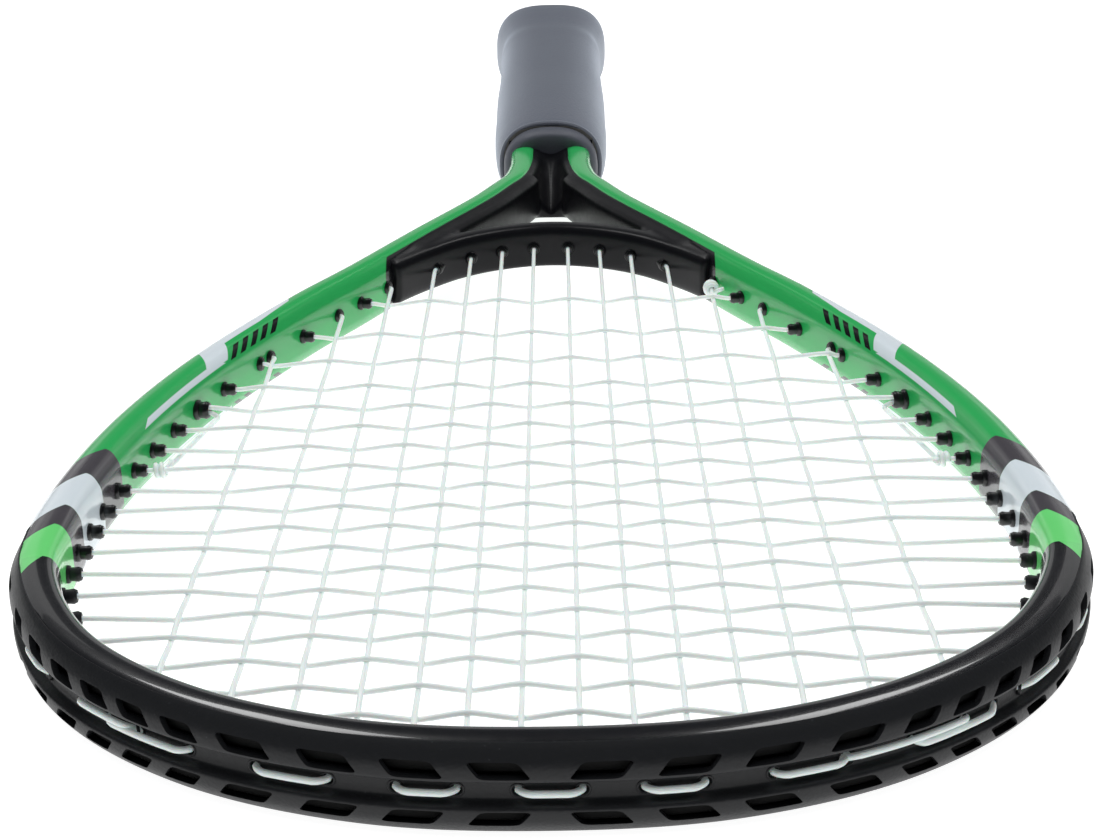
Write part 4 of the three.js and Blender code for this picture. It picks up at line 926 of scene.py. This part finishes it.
def paint_material():
    """The tube's lacquer: green with bands, bars and hooks that follow the tube, and painted shade under the guard.

    The places are in mm: along is measured from the tip, around from the middle of the inner side.
    """
    s = bpy.context.scene.racket_frame
    material, tree, shader = new_material(
        "frame_paint", s.green, Roughness=0.3, Coat_Roughness=0.05, Coat_IOR=1.5, Specular_IOR_Level=0.35)
    place = put(tree, "ShaderNodeAttribute", attribute_name="paint_place").outputs["Vector"]
    split = put(tree, "ShaderNodeSeparateXYZ", {0: place}).outputs
    along, around = split[0], split[1]
    band = band_group()

    def masked(value, start, end, edge=0.12):
        return use_group(tree, band, Place=value, Start=start * MM, End=end * MM, Edge=edge * MM)["Mask"]

    def slanted(by, at):
        """Distance from the tip, shifted by a share of how far round it is from a place."""
        return calc(tree, "SUBTRACT", along, calc(tree, "MULTIPLY", calc(tree, "SUBTRACT", around, at * MM), by))

    def both(*masks):
        """Where all the masks lie."""
        return reduce(lambda first, second: calc(tree, "MULTIPLY", first, second), masks)

    def either(*masks):
        """Where any of the masks lies."""
        return reduce(lambda first, second: calc(tree, "MAXIMUM", first, second), masks)

    tone = use_group(tree, grain_group(), Scale=500, Coarse=20, Variation=0.03)
    paint = mix(tree, 1, rgba(s.green), tone["Tone"], "MULTIPLY")
    wedge = both(masked(along, 246, 400), masked(slanted(1.6, 22), 100, 305.3), masked(around, 10.4, 40))
    rise = calc(tree, "MULTIPLY", calc(tree, "MAXIMUM", calc(tree, "SUBTRACT", along, 272 * MM), 0), 0.082)
    wedge = both(wedge, masked(calc(tree, "SUBTRACT", around, rise), 10.4, 40))
    block = both(masked(slanted(1.1, 10), 242.8, 254), masked(around, 6.2, 40))
    stripe = both(masked(slanted(-2.5, 6), -60, 248), masked(slanted(2.5, 6), 204, 260), masked(around, 5.85, 7.3))
    paint = mix(tree, either(wedge, block, stripe), paint, rgba(s.white))
    bars = either(*(masked(slanted(1.6, 7.1), centre - BAR_HALF_WIDTH, centre + BAR_HALF_WIDTH)
                    for centre in BAR_CENTRES))
    paint = mix(tree, both(bars, masked(around, 5.6, 8.5)), paint, rgba(s.black))
    outer_side = calc(tree, "MAXIMUM", calc(tree, "SUBTRACT", around, 9.5 * MM), 0)
    leaning = calc(tree, "MULTIPLY_ADD", outer_side, 1.5, along)
    tints = (s.dark_grey, s.white, s.dark_grey, s.bright_green, s.black)
    for end, start, tint in zip(BAND_EDGES, BAND_EDGES[1:], tints):
        paint = mix(tree, masked(leaning, start, end), paint, rgba(tint))
    seat = put(tree, "ShaderNodeTexCoord").outputs["Object"]
    sideways = calc(tree, "ABSOLUTE", put(tree, "ShaderNodeSeparateXYZ", {0: seat}).outputs[0])
    by_throat = both(masked(sideways, -1, s.foot_half_width / MM), masked(along, 260, 420))
    paint = mix(tree, both(by_throat, masked(around, -1, 8.2)), paint, rgba(s.black))
    # Under the guard the tube keeps its own black, made darker and matte here as painted shade inside the guard's
    # slots
    hidden = both(masked(along, -1, 147.2), masked(around, 16.3, 60))
    tree.links.new(mix(tree, hidden, paint, (0.003, 0.003, 0.003, 1)), shader.inputs["Base Color"])
    rough = calc(tree, "MULTIPLY_ADD", tone["Height"], 0.06, 0.22)
    tree.links.new(calc(tree, "MULTIPLY_ADD", hidden, 0.6, rough), shader.inputs["Roughness"])
    gloss = calc(tree, "MULTIPLY_ADD", masked(along, BAND_EDGES[-1], BAND_EDGES[-2]), 0.45, 0.35)
    tree.links.new(calc(tree, "MULTIPLY", calc(tree, "SUBTRACT", 1, hidden), gloss), shader.inputs["Coat Weight"])
    peel = put(tree, "ShaderNodeTexNoise", {"Vector": seat, "Scale": 120.0, "Detail": 1})
    link_bump(tree, shader, peel.outputs[0], 0.00001, 0.3)
    return material


# Operators: one for each piece or group of like pieces


class RACKET_OT_frame_tube(bpy.types.Operator):
    """Sweeps the lacquered tube round the head and down the two shafts"""

    bl_idname = "racket.frame_tube"
    bl_label = "Frame tube"

    def execute(self, context):
        """Builds the piece."""
        s, g = context.scene.racket_frame, context.scene.racket_guard
        rail, section, skin = frame_rail(), Section(), Skin()
        crease = section.beside(-0.52 * s.half_width)
        arounds = np.unique(np.concatenate([
            np.linspace(0, section.length, 56), [crease - 0.15 * MM, crease + 0.15 * MM]]))
        floor, wide = s.channel_floor, s.channel_half_width
        lip = wide + 0.5 * MM
        channel = [(floor + 0.3 * MM, wide + 0.05 * MM), (floor, wide - 0.3 * MM), (floor, wide / 2), (floor, 0)]
        half = rail.length / 2
        hoop = half - 200 * MM
        step = half - g.half_length
        left = np.unique(np.concatenate([
            np.linspace(0, hoop, 200), np.linspace(hoop, half, 150), [step - 0.3 * MM, step + 0.3 * MM]]))
        places = np.concatenate([left, 2 * half - left[-2::-1]])
        rings, marks = [], []
        for place in places:
            from_tip = abs(place - half)
            under_guard = from_tip < g.half_length
            seam = lip_of_guard(from_tip)
            half_ring, half_marks = [], []
            for around in arounds:
                depth = 0.0
                if under_guard:
                    depth = s.rebate * float(np.clip((around - seam - 0.1 * MM) / (0.5 * MM), 0, 1))
                across, up = skin.at(from_tip, around, -depth)
                half_ring.append((across, max(up, lip if around > 15 * MM else up)))
                half_marks.append((from_tip, around))
            half_ring += channel
            half_marks += [(from_tip, section.length + (k + 1) * MM) for k in range(len(channel))]
            ring = half_ring + [(across, -up) for across, up in half_ring[-2:0:-1]]
            rings.append([rail.at(place / rail.length, across, up) for across, up in ring])
            marks += half_marks + half_marks[-2:0:-1]
        build = Build()
        build.loft(rings)
        tube = build.piece("visible_frame_tube")
        layer = tube.data.attributes.new("paint_place", "FLOAT_VECTOR", "POINT")
        flat = np.array([(along, around, 0) for along, around in marks], np.float32)
        layer.data.foreach_set("vector", flat.ravel())
        sharpen(tube, 40)
        finish_piece(tube, paint_material(), "frame", "frame_tube")
        return {"FINISHED"}


class RACKET_OT_throat(bpy.types.Operator):
    """Moulds the bridge, the linings and the apex of the throat into one rounded piece"""

    bl_idname = "racket.throat"
    bl_label = "Throat moulding"

    def execute(self, context):
        """Builds the piece."""
        s = context.scene.racket_frame
        tube, bridge = frame_rail(), bridge_rail()
        build = Build()
        wide, high, edge = s.bridge_half_width, s.bridge_half_height, s.bridge_bevel
        section = []
        for sx, sy in ((1, 1), (-1, 1), (-1, -1), (1, -1)):
            for k in range(5):
                angle = math.radians(22.5 * k) if sx * sy > 0 else math.radians(90 - 22.5 * k)
                x, y = wide - edge + edge * math.cos(angle), high - edge + edge * math.sin(angle)
                section.append((sx * x, sy * y))
        build.loft([[bridge.at(p, across, up) for across, up in section] for p in np.linspace(0.02, 0.98, 60)])
        seat = -s.half_width + 0.9 * MM
        stem = solve(1, 0.8, lambda p: tube.at(p)[1] + s.handle - s.stem_inset)
        apex = solve(stem, 0.6, lambda p: tube.at(p)[1] + s.handle + s.apex_gap)
        foot = solve(0.9, 0.6, lambda p: tube.at(p, seat)[0] - s.foot_half_width + 1.5 * MM)
        inner = -s.half_width - s.throat_wall - 0.3 * MM
        over = [(-1.9 * MM, 7.9 * MM), (-2.9 * MM, 7.9 * MM), (-4.5 * MM, 7.2 * MM)]
        lining = over + [(-5.8 * MM, 6.6 * MM), (inner, 5.7 * MM)]
        lining += [(across, -up) for across, up in lining[::-1]]
        root = -3.4 * MM
        for side in (1, -1):
            rings = []
            for place in np.linspace(foot, apex + 0.001, 70):
                p = place if side > 0 else 1 - place
                grown = min(1.0, 0.08 + (place - foot) * tube.length / (14 * MM))
                rings.append([tube.at(p, root + (across - root) * grown, up * (0.9 + 0.1 * grown))
                              for across, up in lining])
            build.loft(rings)
        rings = []
        for place in np.linspace(apex, stem, 24):
            right = [tube.at(place, across, up) for across, up in over]
            left = [tube.at(1 - place, across, up) for across, up in over]
            x, y, level = left[-1]
            part = (place - apex) / (stem - apex)
            low = (12.2 * part * (2 - part) - 6) * MM
            beside = low + 0.35 * (level - low)
            web = [(0.6 * x, y, beside), (0, y, low), (-0.6 * x, y, beside)]
            under = left + [(x, y, level) for x, y, _ in web] + right[::-1]
            rings.append(left + web + right[::-1] + [(x, y, -z) for x, y, z in under[::-1]])
        build.loft(rings)
        moulding = build.piece("visible_throat_moulding")
        merge = moulding.modifiers.new("Merge", "REMESH")
        merge.mode = "VOXEL"
        merge.voxel_size = 0.6 * MM
        soften = moulding.modifiers.new("Soften", "SMOOTH")
        soften.factor = 0.5
        soften.iterations = 22
        settle(moulding)
        moulding.data.shade_smooth()
        gloss = grained("throat_gloss", s.black, 0.34, 500, 0.000002, variation=0.05, marks=0.01,
                        Coat_Weight=0.08, Coat_Roughness=0.2, Specular_IOR_Level=0.16)
        finish_piece(moulding, gloss, "throat_moulding", "throat_bridge")
        return {"FINISHED"}


class RACKET_OT_guard(bpy.types.Operator):
    """Moulds the guard round the tip, with its slots, its groove and its barrels"""

    bl_idname = "racket.guard"
    bl_label = "Bumper guard"

    def execute(self, context):
        """Builds the piece."""
        g, s = context.scene.racket_guard, context.scene.racket_frame
        rail = frame_rail()
        rows = self.rows(g)
        half = rail.length / 2
        rings = []
        for base in np.linspace(-g.half_length, g.half_length, 190):
            side = rows(base)
            rings.append([rail.at((half + base) / rail.length, across, up)
                          for across, up in side[::-1] + [(across, -up) for across, up in side[1:]]])
        build = Build()
        build.sheet(rings)
        guard = build.piece("visible_guard_shell")
        self.face_out(guard)
        wall = guard.modifiers.new("Wall", "SOLIDIFY")
        wall.thickness = g.thickness
        wall.offset = -1
        wall.use_even_offset = False
        smooth = guard.modifiers.new("Smooth", "SUBSURF")
        smooth.levels = smooth.render_levels = 1
        mains, crosses = string_ends()
        ends = [m.tip for m in mains] + [e for c in crosses if -c.y > GUARD_CROSSES for e in (c.left, c.right)]
        pins = Build()
        for end in ends:
            bore, low, high = eyelet_bore(end), end.outer - 2.6 * MM, end.outer + 0.2 * MM
            pins.lathe([(low, 0.02 * MM), (low, bore), (high, bore), (high, 0.02 * MM)], end.centre, end.axis, 20)
        self.add_slots(pins, rail, g)
        cutter = pins.piece("pins")
        holes = guard.modifiers.new("Holes", "BOOLEAN")
        holes.operation, holes.solver, holes.object = "DIFFERENCE", "MANIFOLD", cutter
        settle(guard)
        bpy.data.objects.remove(cutter)
        barrels = Build()
        for end in ends:
            add_barrel(barrels, end, context.scene.racket_strings.loop_gap + 1.4 * MM)
            add_eyelet(barrels, end, end.floor - g.groove)
        extra = barrels.piece("guard_barrels")
        for face in extra.data.polygons:
            face.material_index = 1
        join(guard, extra)
        guard.name = "visible_bumper_guard"
        guard.data.shade_smooth()
        sharpen(guard, 50)
        nylon = grained("guard_nylon", g.charcoal, 0.44, 1600, 0.00005, variation=0.1, marks=0.06,
                        specks=0.35, light=5.0, Specular_IOR_Level=0.3)
        finish_piece(guard, nylon, "bumper", "bumper_guard")
        guard.data.materials.append(grommet_nylon())
        return {"FINISHED"}

    @staticmethod
    def add_slots(build, rail, g):
        """Adds the bodies that cut the slots: slanted, with rounded corners."""
        middle, tall = (g.slot_low + g.slot_high) / 2, (g.slot_high - g.slot_low) / 2
        below_sheet, above_face = 2.4 * MM, 6.5 * MM
        for k, centre in enumerate(SLOT_SHARES):
            wide = (g.long_slot if k < LONG_SLOTS else g.short_slot) / 2
            for side in (1, -1):
                for face in (1, -1):
                    outline = []
                    for x, y in squared_circle(28, 0.3):
                        along = centre * g.half_length + x * wide + y * g.slot_slant / 2
                        outline.append((0.5 + side * along / rail.length, face * (middle + y * tall)))
                    build.loft([[rail.at(place, across, up) for place, up in outline]
                                for across in (below_sheet, above_face)])

    @staticmethod
    def rows(g):
        """Gives the sheet's section, from the groove's middle to the lip, for a distance from the tip."""
        skin = Skin()
        inner = [(g.groove, 0), (g.groove, 0.9 * MM), (g.groove, 1.5 * MM), (g.groove + 0.25 * MM, 1.95 * MM),
                 (g.face - 0.6 * MM, 2.2 * MM), (g.face - 0.15 * MM, 2.45 * MM), (g.face, 2.85 * MM),
                 (g.face, 3.5 * MM), (g.face - 0.08 * MM, 4.2 * MM), (g.face - 0.22 * MM, 4.9 * MM),
                 (g.face - 0.48 * MM, 5.6 * MM), (g.face - 0.85 * MM, 6.25 * MM)]

        def at(base):
            run = lip_of_guard(base) - FACE_ROUND
            over = [tuple(skin.at(abs(base), FACE_ROUND + run * part, (-0.2 + 0.45 * part) * MM))
                    for part in (0, 0.35, 0.7, 0.92, 1)]
            return inner + over
        return at

    @staticmethod
    def face_out(guard):
        """Turns the open sheet so that its faces look outward."""
        work = bmesh.new()
        work.from_mesh(guard.data)
        rail = frame_rail()
        tallied = 0.0
        for face in list(work.faces)[::7]:
            centre = face.calc_center_median()
            place, _ = rail.beside(centre)
            across = np.array(centre) - rail.at(place)
            tallied += float(np.dot(across, face.normal))
        if tallied < 0:
            bmesh.ops.reverse_faces(work, faces=work.faces)
        work.to_mesh(guard.data)
        work.free()


def join(made, extra):
    """Adds an extra object's mesh to a piece and removes that object."""
    work = bmesh.new()
    work.from_mesh(made.data)
    work.from_mesh(extra.data)
    work.to_mesh(made.data)
    work.free()
    bpy.data.objects.remove(extra)


def grommet_nylon():
    """The barrels' and strips' black nylon, made once."""
    name = "grommet_nylon"
    if name in bpy.data.materials:
        return bpy.data.materials[name]
    g = bpy.context.scene.racket_guard
    return grained(name, g.barrel_black, 0.34, 1500, 0.00002, marks=0.03, Coat_Weight=0.2)


class RACKET_OT_grommets(bpy.types.Operator):
    """Makes the three strips with their barrels: left, right and throat"""

    bl_idname = "racket.grommets"
    bl_label = "Grommet strips"

    def execute(self, context):
        """Builds the pieces."""
        s, t, g = context.scene.racket_frame, context.scene.racket_strings, context.scene.racket_guard
        mains, crosses = string_ends()
        tube, bridge = frame_rail(), bridge_rail()
        nylon = grommet_nylon()
        side_ends = {"left": [], "right": []}
        for cross in crosses:
            if -cross.y < GUARD_CROSSES:
                side_ends["left"].append(cross.left)
                side_ends["right"].append(cross.right)
        throat_ends = []
        for main in mains:
            if main.throat.rail.outward_sign < 0:
                throat_ends.append(main.throat)
            else:
                side_ends["left" if main.x < 0 else "right"].append(main.throat)
        limit = 0.5 - (g.half_length + 1 * MM) / tube.length
        groups = {
            "left": (side_ends["left"], tube, s.channel_floor + STRIP_GAP),
            "right": (side_ends["right"], tube, s.channel_floor + STRIP_GAP),
            "throat": (throat_ends, bridge, s.bridge_half_width + 0.05 * MM),
        }
        for key, (ends, rail, bottom) in groups.items():
            build = Build()
            for end in ends:
                add_barrel(build, end, t.loop_gap + t.diameter / 2 + t.strip_thickness / 2)
                add_eyelet(build, end, t.loop_gap + t.diameter / 2)
            places = [end.outer_t for end in ends]
            margin = t.strip_margin / rail.length
            low, high = min(places) - margin, max(places) + margin
            if key == "left":
                high = min(high, limit)
            if key == "right":
                low = max(low, 1 - limit)
            add_strip(build, rail, max(low, 0), min(high, 1), bottom)
            strip = build.piece("visible_grommets_" + key)
            sharpen(strip, 50)
            finish_piece(strip, nylon, "grommet", "grommet_strip_" + key)
        return {"FINISHED"}


class RACKET_OT_strings(bpy.types.Operator):
    """Weaves the main and the cross strings and ties their ends off"""

    bl_idname = "racket.strings"
    bl_label = "Strings"

    def execute(self, context):
        """Builds the pieces."""
        t = context.scene.racket_strings
        mains, crosses = string_ends()
        nylon = self.nylon(t)
        for name, path in (("mains", main_path(mains, crosses)), ("crosses", cross_path(mains, crosses))):
            build = Build()
            build.tube(rounded(path, t.bend), t.diameter / 2, 10)
            finish_piece(build.piece("visible_string_" + name), nylon, "string", "string_" + name)
        tied, cross = mains[TIED_MAIN], crosses[TIED_CROSS]
        inside = np.array([1, 0, 0])
        spots = {
            "throat": (tied.throat.mouth, np.array([0, -1, 0]), 4.2, 4),
            "tip": (through(tied.tip, 1)[0], np.array([0, 1, 0]), 2.3, 2),
            "left": (cross.left.mouth, inside, 2.3, 2),
            "right": (cross.right.mouth, -inside, 2.3, 2),
        }
        for key, (start, axis, off, turns) in spots.items():
            knot = self.knot(start, axis, off * MM, t.diameter, turns)
            finish_piece(knot.piece("visible_knot_" + key), nylon, "string", "string_knot_" + key)
        return {"FINISHED"}

    @staticmethod
    def knot(start, axis, off, diameter, turns):
        """A hitch pulled tight: a few turns, with its short cut tail."""
        side = np.array([-axis[1], axis[0], 0.0])
        up = np.cross(axis, side)
        points = []
        for k in range(14 * turns + 1):
            angle = 2 * math.pi * k / 14
            part = k / (14 * turns)
            swell = (1.04 + (0.15 * turns - 0.14) * math.sin(math.pi * part)) * diameter
            along = off + (part - 0.5) * 1.06 * turns * diameter
            points.append(start + axis * along + swell * (math.cos(angle) * side + math.sin(angle) * up))
        last = points[-1]
        points += [last + (0.5 * axis + 0.9 * side + 0.4 * up) * MM, last + (0.9 * axis + 2.0 * side + 0.9 * up) * MM]
        build = Build()
        build.tube(points, diameter / 2, 10)
        return build

    @staticmethod
    def nylon(t):
        """Cloudy nylon that lets some light through, with a faint painted glow that makes it brighter."""
        # The emission is a painted glow: painted light that brightens the strings
        return grained("string_nylon", t.nylon, 0.36, 2600, 0.00002, variation=0.05, marks=0.06, light=0.9,
                       Emission_Color=(0.86, 1, 0.97, 1), Emission_Strength=0.08,
                       Subsurface_Weight=0.25, Subsurface_Scale=0.001, Coat_Weight=0.2)


def handle_ring(half_width, half_height, place, squareness):
    """A rounded rectangle across the handle."""
    return [(x * half_width, -place, z * half_height) for x, z in squared_circle(72, 2 / squareness)]


def smooth_line(keys, steps):
    """A smooth line of (place, half width, half height) through given ones."""
    keys = np.array(keys, float)
    slopes = np.gradient(keys[:, 1:], keys[:, 0], axis=0)
    line = []
    for i in range(len(keys) - 1):
        run = keys[i + 1, 0] - keys[i, 0]
        for k in range(steps):
            w = k / steps
            value = ((2 * w ** 3 - 3 * w ** 2 + 1) * keys[i, 1:] + (w ** 3 - 2 * w ** 2 + w) * run * slopes[i]
                     + (3 * w ** 2 - 2 * w ** 3) * keys[i + 1, 1:] + (w ** 3 - w ** 2) * run * slopes[i + 1])
            line.append((keys[i, 0] + run * w, *value))
    line.append(tuple(keys[-1]))
    return line


class RACKET_OT_grip(bpy.types.Operator):
    """Wraps the cushioned grip over the handle"""

    bl_idname = "racket.grip"
    bl_label = "Grip"

    def execute(self, context):
        """Builds the piece."""
        h = context.scene.racket_handle
        rear, front = h.grip_rear / MM, h.grip_front / MM
        spans = (
            (h.butt_half_width, h.butt_half_height, (
                (rear, 0.9), (rear + 1.2, 0.945), (4.6, 0.98), (8, 1),
                (12, 0.992), (18, 0.96), (25, 0.915), (33, 0.875))),
            (h.waist_half_width, h.waist_half_height, (
                (43, 1.03), (55, 1.01), (70, 1), (90, 1), (120, 1.012))),
            (h.bulge_half_width, h.bulge_half_height, (
                (150, 1), (168, 0.995), (182, 0.97), (191, 0.935))),
            (h.front_half_width, h.front_half_height, (
                (front - 1.5, 1), (front - 0.3, 0.985), (front, 0.965))),
        )
        line = [(place * MM, scale * wide, scale * high) for wide, high, keys in spans for place, scale in keys]
        outer = smooth_line(line, 6)
        turning = (60 * MM, h.grip_front), (h.butt_squareness, h.front_squareness)
        rings = [handle_ring(w, v, place, np.interp(place, *turning)) for place, w, v in outer]
        wall = 1.6 * MM
        inside = [(p, w - wall, v - wall) for p, w, v in outer[::-4]]
        inside[0] = (h.grip_front - 0.1 * MM, *inside[0][1:])
        inside.append((h.grip_rear + 0.1 * MM, outer[0][1] - wall, outer[0][2] - wall))
        rings += [handle_ring(w, v, place, h.squareness) for place, w, v in inside]
        build = Build()
        build.loft(rings, closed=True)
        grip = build.piece("visible_grip")
        cushion = grained("grip_cushion", h.grip, 0.56, 1100, 0.00009, variation=0.08, marks=0.05, light=1.15,
                          Sheen_Weight=0.6, Sheen_Roughness=0.4, Sheen_Tint=(0.8, 0.88, 1, 1))
        finish_piece(grip, cushion, "grip", "grip_wrap")
        return {"FINISHED"}


class RACKET_OT_handle_ends(bpy.types.Operator):
    """Makes the rubber collar, the butt cap and its door"""

    bl_idname = "racket.handle_ends"
    bl_label = "Collar and butt"

    def execute(self, context):
        """Builds the pieces."""
        h, s = context.scene.racket_handle, context.scene.racket_frame
        rubber = grained("collar_rubber", h.rubber, 0.5, 1300, 0.00004, marks=0.04)
        shell = grained("butt_rubber", h.rubber, 0.52, 1200, 0.00005, marks=0.05)
        front = s.handle
        collar = Build()
        steps = [(h.collar_rear, 0.99), (h.collar_rear + 0.4 * MM, 1.0)]
        steps += [(front - back * MM, scale) for back, scale in (
            (3.4, 0.995), (1.8, 0.975), (0.7, 0.945), (0.15, 0.905), (0, 0.86), (0.1, 0.8), (0.5, 0.4))]
        collar.loft([handle_ring(f * h.collar_half_width, f * h.collar_half_height, p, h.front_squareness)
                     for p, f in steps])
        made = collar.piece("visible_collar")
        finish_piece(made, rubber, "collar", "grip_collar")
        cap = Build()
        rim = ((26, 0.86), (8, 0.99), (3, 0.985), (1.4, 0.955), (0.5, 0.915), (0.08, 0.86), (0, 0.8))
        rings = [handle_ring(f * h.cap_half_width, f * h.cap_half_height, p * MM, h.squareness) for p, f in rim]
        seat = h.door_radius + 0.35 * MM
        for place, radius in ((0, seat + 0.5 * MM), (0.15 * MM, seat), (2.2 * MM, seat), (2.3 * MM, 0.4 * seat)):
            rings.append(handle_ring(radius, radius, place, 2))
        cap.loft(rings)
        made = cap.piece("visible_butt_cap")
        sharpen(made, 50)
        finish_piece(made, shell, "butt_cap", "butt_cap")
        door = Build()
        r = h.door_radius / MM
        profile = ((-0.03, 0.2), (-0.03, 3.6), (-0.4, 4.1), (-0.4, 4.9), (-0.03, 5.4), (-0.03, r - 0.5),
                   (-0.25, r - 0.1), (-0.65, r), (-2.05, r), (-2.05, 0.2))
        door.lathe([(along * MM, radius * MM) for along, radius in profile], (0, 0, 0), (0, 1, 0), 64)
        made = door.piece("visible_butt_door")
        sharpen(made, 40)
        finish_piece(made, shell, "butt_cap", "butt_cap_door")
        return {"FINISHED"}


class RACKET_OT_inner_parts(bpy.types.Operator):
    """Gives the handle's hidden shells and staples their foam and steel"""

    bl_idname = "racket.inner_parts"
    bl_label = "Shells and staples"

    def execute(self, context):
        """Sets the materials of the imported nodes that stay."""
        foam = grained("shell_foam", (0.09, 0.088, 0.082), 0.8, 900, 0.0002, variation=0.2)
        steel = grained("staple_steel", (0.55, 0.55, 0.56), 0.32, 1500, 0.00001, marks=0.2, Metallic=1.0)
        for name in ("handle_shell_upper", "handle_shell_lower"):
            self.dress(name, foam)
        for name in ("butt_staple_left", "butt_staple_right"):
            self.dress(name, steel)
        return {"FINISHED"}

    @staticmethod
    def dress(name, material):
        """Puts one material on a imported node."""
        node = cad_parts[name]
        node.data.materials.clear()
        node.data.materials.append(material)


class RACKET_OT_stage(bpy.types.Operator):
    """Sets the pale floor, the soft lights and the camera"""

    bl_idname = "racket.stage"
    bl_label = "Stage"

    def execute(self, context):
        """Builds the stage."""
        c = context.scene.racket_stage
        self.floor(c)
        self.lights(context.scene)
        self.camera(context.scene, c)
        context.scene.view_settings.view_transform = "Standard"
        return {"FINISHED"}

    @staticmethod
    def floor(c):
        """A plain floor that the butt and the tip rest on."""
        rear, front = (-5 * MM, c.rest_rear), (-588 * MM, c.rest_front)
        slope = (front[1] - rear[1]) / (front[0] - rear[0])
        half = c.floor_half_size
        steps = np.linspace(-half, half, 9)
        build = Build()
        build.sheet([[(x, y, rear[1] + (y - rear[0]) * slope) for x in steps] for y in steps])
        floor = build.piece("stage_floor")
        material = grained("floor_white", (0.4, 0.4, 0.4), 0.75, 60, 0.00001, variation=0.01, marks=0.0,
                           Emission_Color=(1, 1, 1, 1), Emission_Strength=0.95)
        floor.data.materials.append(material)

    @staticmethod
    def lights(scene):
        """Dim surroundings, a wide fill above, and softboxes behind that the lacquer mirrors."""
        world = bpy.data.worlds.new("Studio")
        world.use_nodes = True
        world.node_tree.nodes["Background"].inputs[0].default_value = (0.8, 0.88, 1, 1)
        world.node_tree.nodes["Background"].inputs[1].default_value = 0.05
        scene.world = world
        panels = (
            ("Above", (0, -0.4, 1.6), (0, -0.4, 0), 2.4, 2.0, 30, False),
            ("Left", (-0.39, 0.5, 1.2), (-0.04, -0.57, 0), 0.24, 0.6, 2.6, True),
            ("Right", (0.39, 0.5, 1.2), (0.04, -0.57, 0), 0.24, 0.6, 2.6, True),
            ("Behind", (0, 1.3, 0.35), (0, -0.4, 0.1), 3.4, 0.5, 2.2, True),
            ("Left wing", (-1.15, 1.3, 0.78), (-0.1, -0.45, 0), 1.1, 0.7, 1.0, True),
            ("Right wing", (1.15, 1.3, 0.78), (0.1, -0.45, 0), 1.1, 0.7, 1.0, True),
        )
        for name, place, aim, width, depth, power, mirrored_in_gloss in panels:
            light = bpy.data.lights.new(name, "AREA")
            light.shape = "RECTANGLE"
            light.size, light.size_y, light.energy = width, depth, power
            made = bpy.data.objects.new(name, light)
            made.location = place
            made.rotation_euler = (Vector(aim) - Vector(place)).to_track_quat("-Z", "Y").to_euler()
            made.visible_glossy = mirrored_in_gloss
            scene.collection.objects.link(made)

    @staticmethod
    def camera(scene, c):
        """The camera at the photographed angle."""
        level, drop = math.cos(c.pitch), math.sin(c.pitch)
        ahead = Vector((math.sin(c.yaw) * level, math.cos(c.yaw) * level, -drop))
        right = Vector((math.cos(c.yaw), -math.sin(c.yaw), 0))
        up = right.cross(ahead)
        turned_right = right * math.cos(c.roll) + up * math.sin(c.roll)
        turned_up = up * math.cos(c.roll) - right * math.sin(c.roll)
        turn = Matrix((turned_right, turned_up, -ahead)).transposed()
        lens = bpy.data.cameras.new("Camera")
        lens.sensor_fit, lens.sensor_width, lens.lens = "HORIZONTAL", 36, c.lens
        lens.clip_start, lens.clip_end = 0.01, 40
        made = bpy.data.objects.new("Camera", lens)
        made.matrix_world = Matrix.Translation((c.camera_x, c.camera_y, c.camera_z)) @ turn.to_4x4()
        scene.collection.objects.link(made)
        scene.camera = made


OPERATORS = (
    RACKET_OT_frame_tube, RACKET_OT_throat, RACKET_OT_guard, RACKET_OT_grommets, RACKET_OT_strings,
    RACKET_OT_grip, RACKET_OT_handle_ends, RACKET_OT_inner_parts, RACKET_OT_stage,
)
SIZE_GROUPS = {
    "racket_frame": FrameSizes, "racket_strings": StringSizes, "racket_guard": GuardSizes,
    "racket_handle": HandleSizes, "racket_stage": StageSizes,
}


class RACKET_PT_panel(bpy.types.Panel):
    """Lists the racket's steps and its sizes"""

    bl_idname = "RACKET_PT_panel"
    bl_label = "Crossminton racket"
    bl_space_type = "VIEW_3D"
    bl_region_type = "UI"
    bl_category = "Racket"

    def draw(self, context):
        """Draws a button for each step, then the sizes."""
        for step in OPERATORS:
            self.layout.operator(step.bl_idname)
        for key, group in SIZE_GROUPS.items():
            box = self.layout.box()
            for name in group.__annotations__:
                box.prop(getattr(context.scene, key), name)


CLASSES = (*SIZE_GROUPS.values(), *OPERATORS, RACKET_PT_panel)


def register():
    """Registers the classes and puts their sizes on the scene."""
    for group in CLASSES:
        bpy.utils.register_class(group)
    for key, group in SIZE_GROUPS.items():
        setattr(bpy.types.Scene, key, bpy.props.PointerProperty(type=group))


def unregister():
    """Takes it all off again."""
    for key in SIZE_GROUPS:
        delattr(bpy.types.Scene, key)
    for group in reversed(CLASSES):
        bpy.utils.unregister_class(group)


def main():
    """Runs every step in order."""
    register()
    for step in OPERATORS:
        area, name = step.bl_idname.split(".")
        getattr(getattr(bpy.ops, area), name)()
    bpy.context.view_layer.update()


if __name__ == "__main__":
    main()
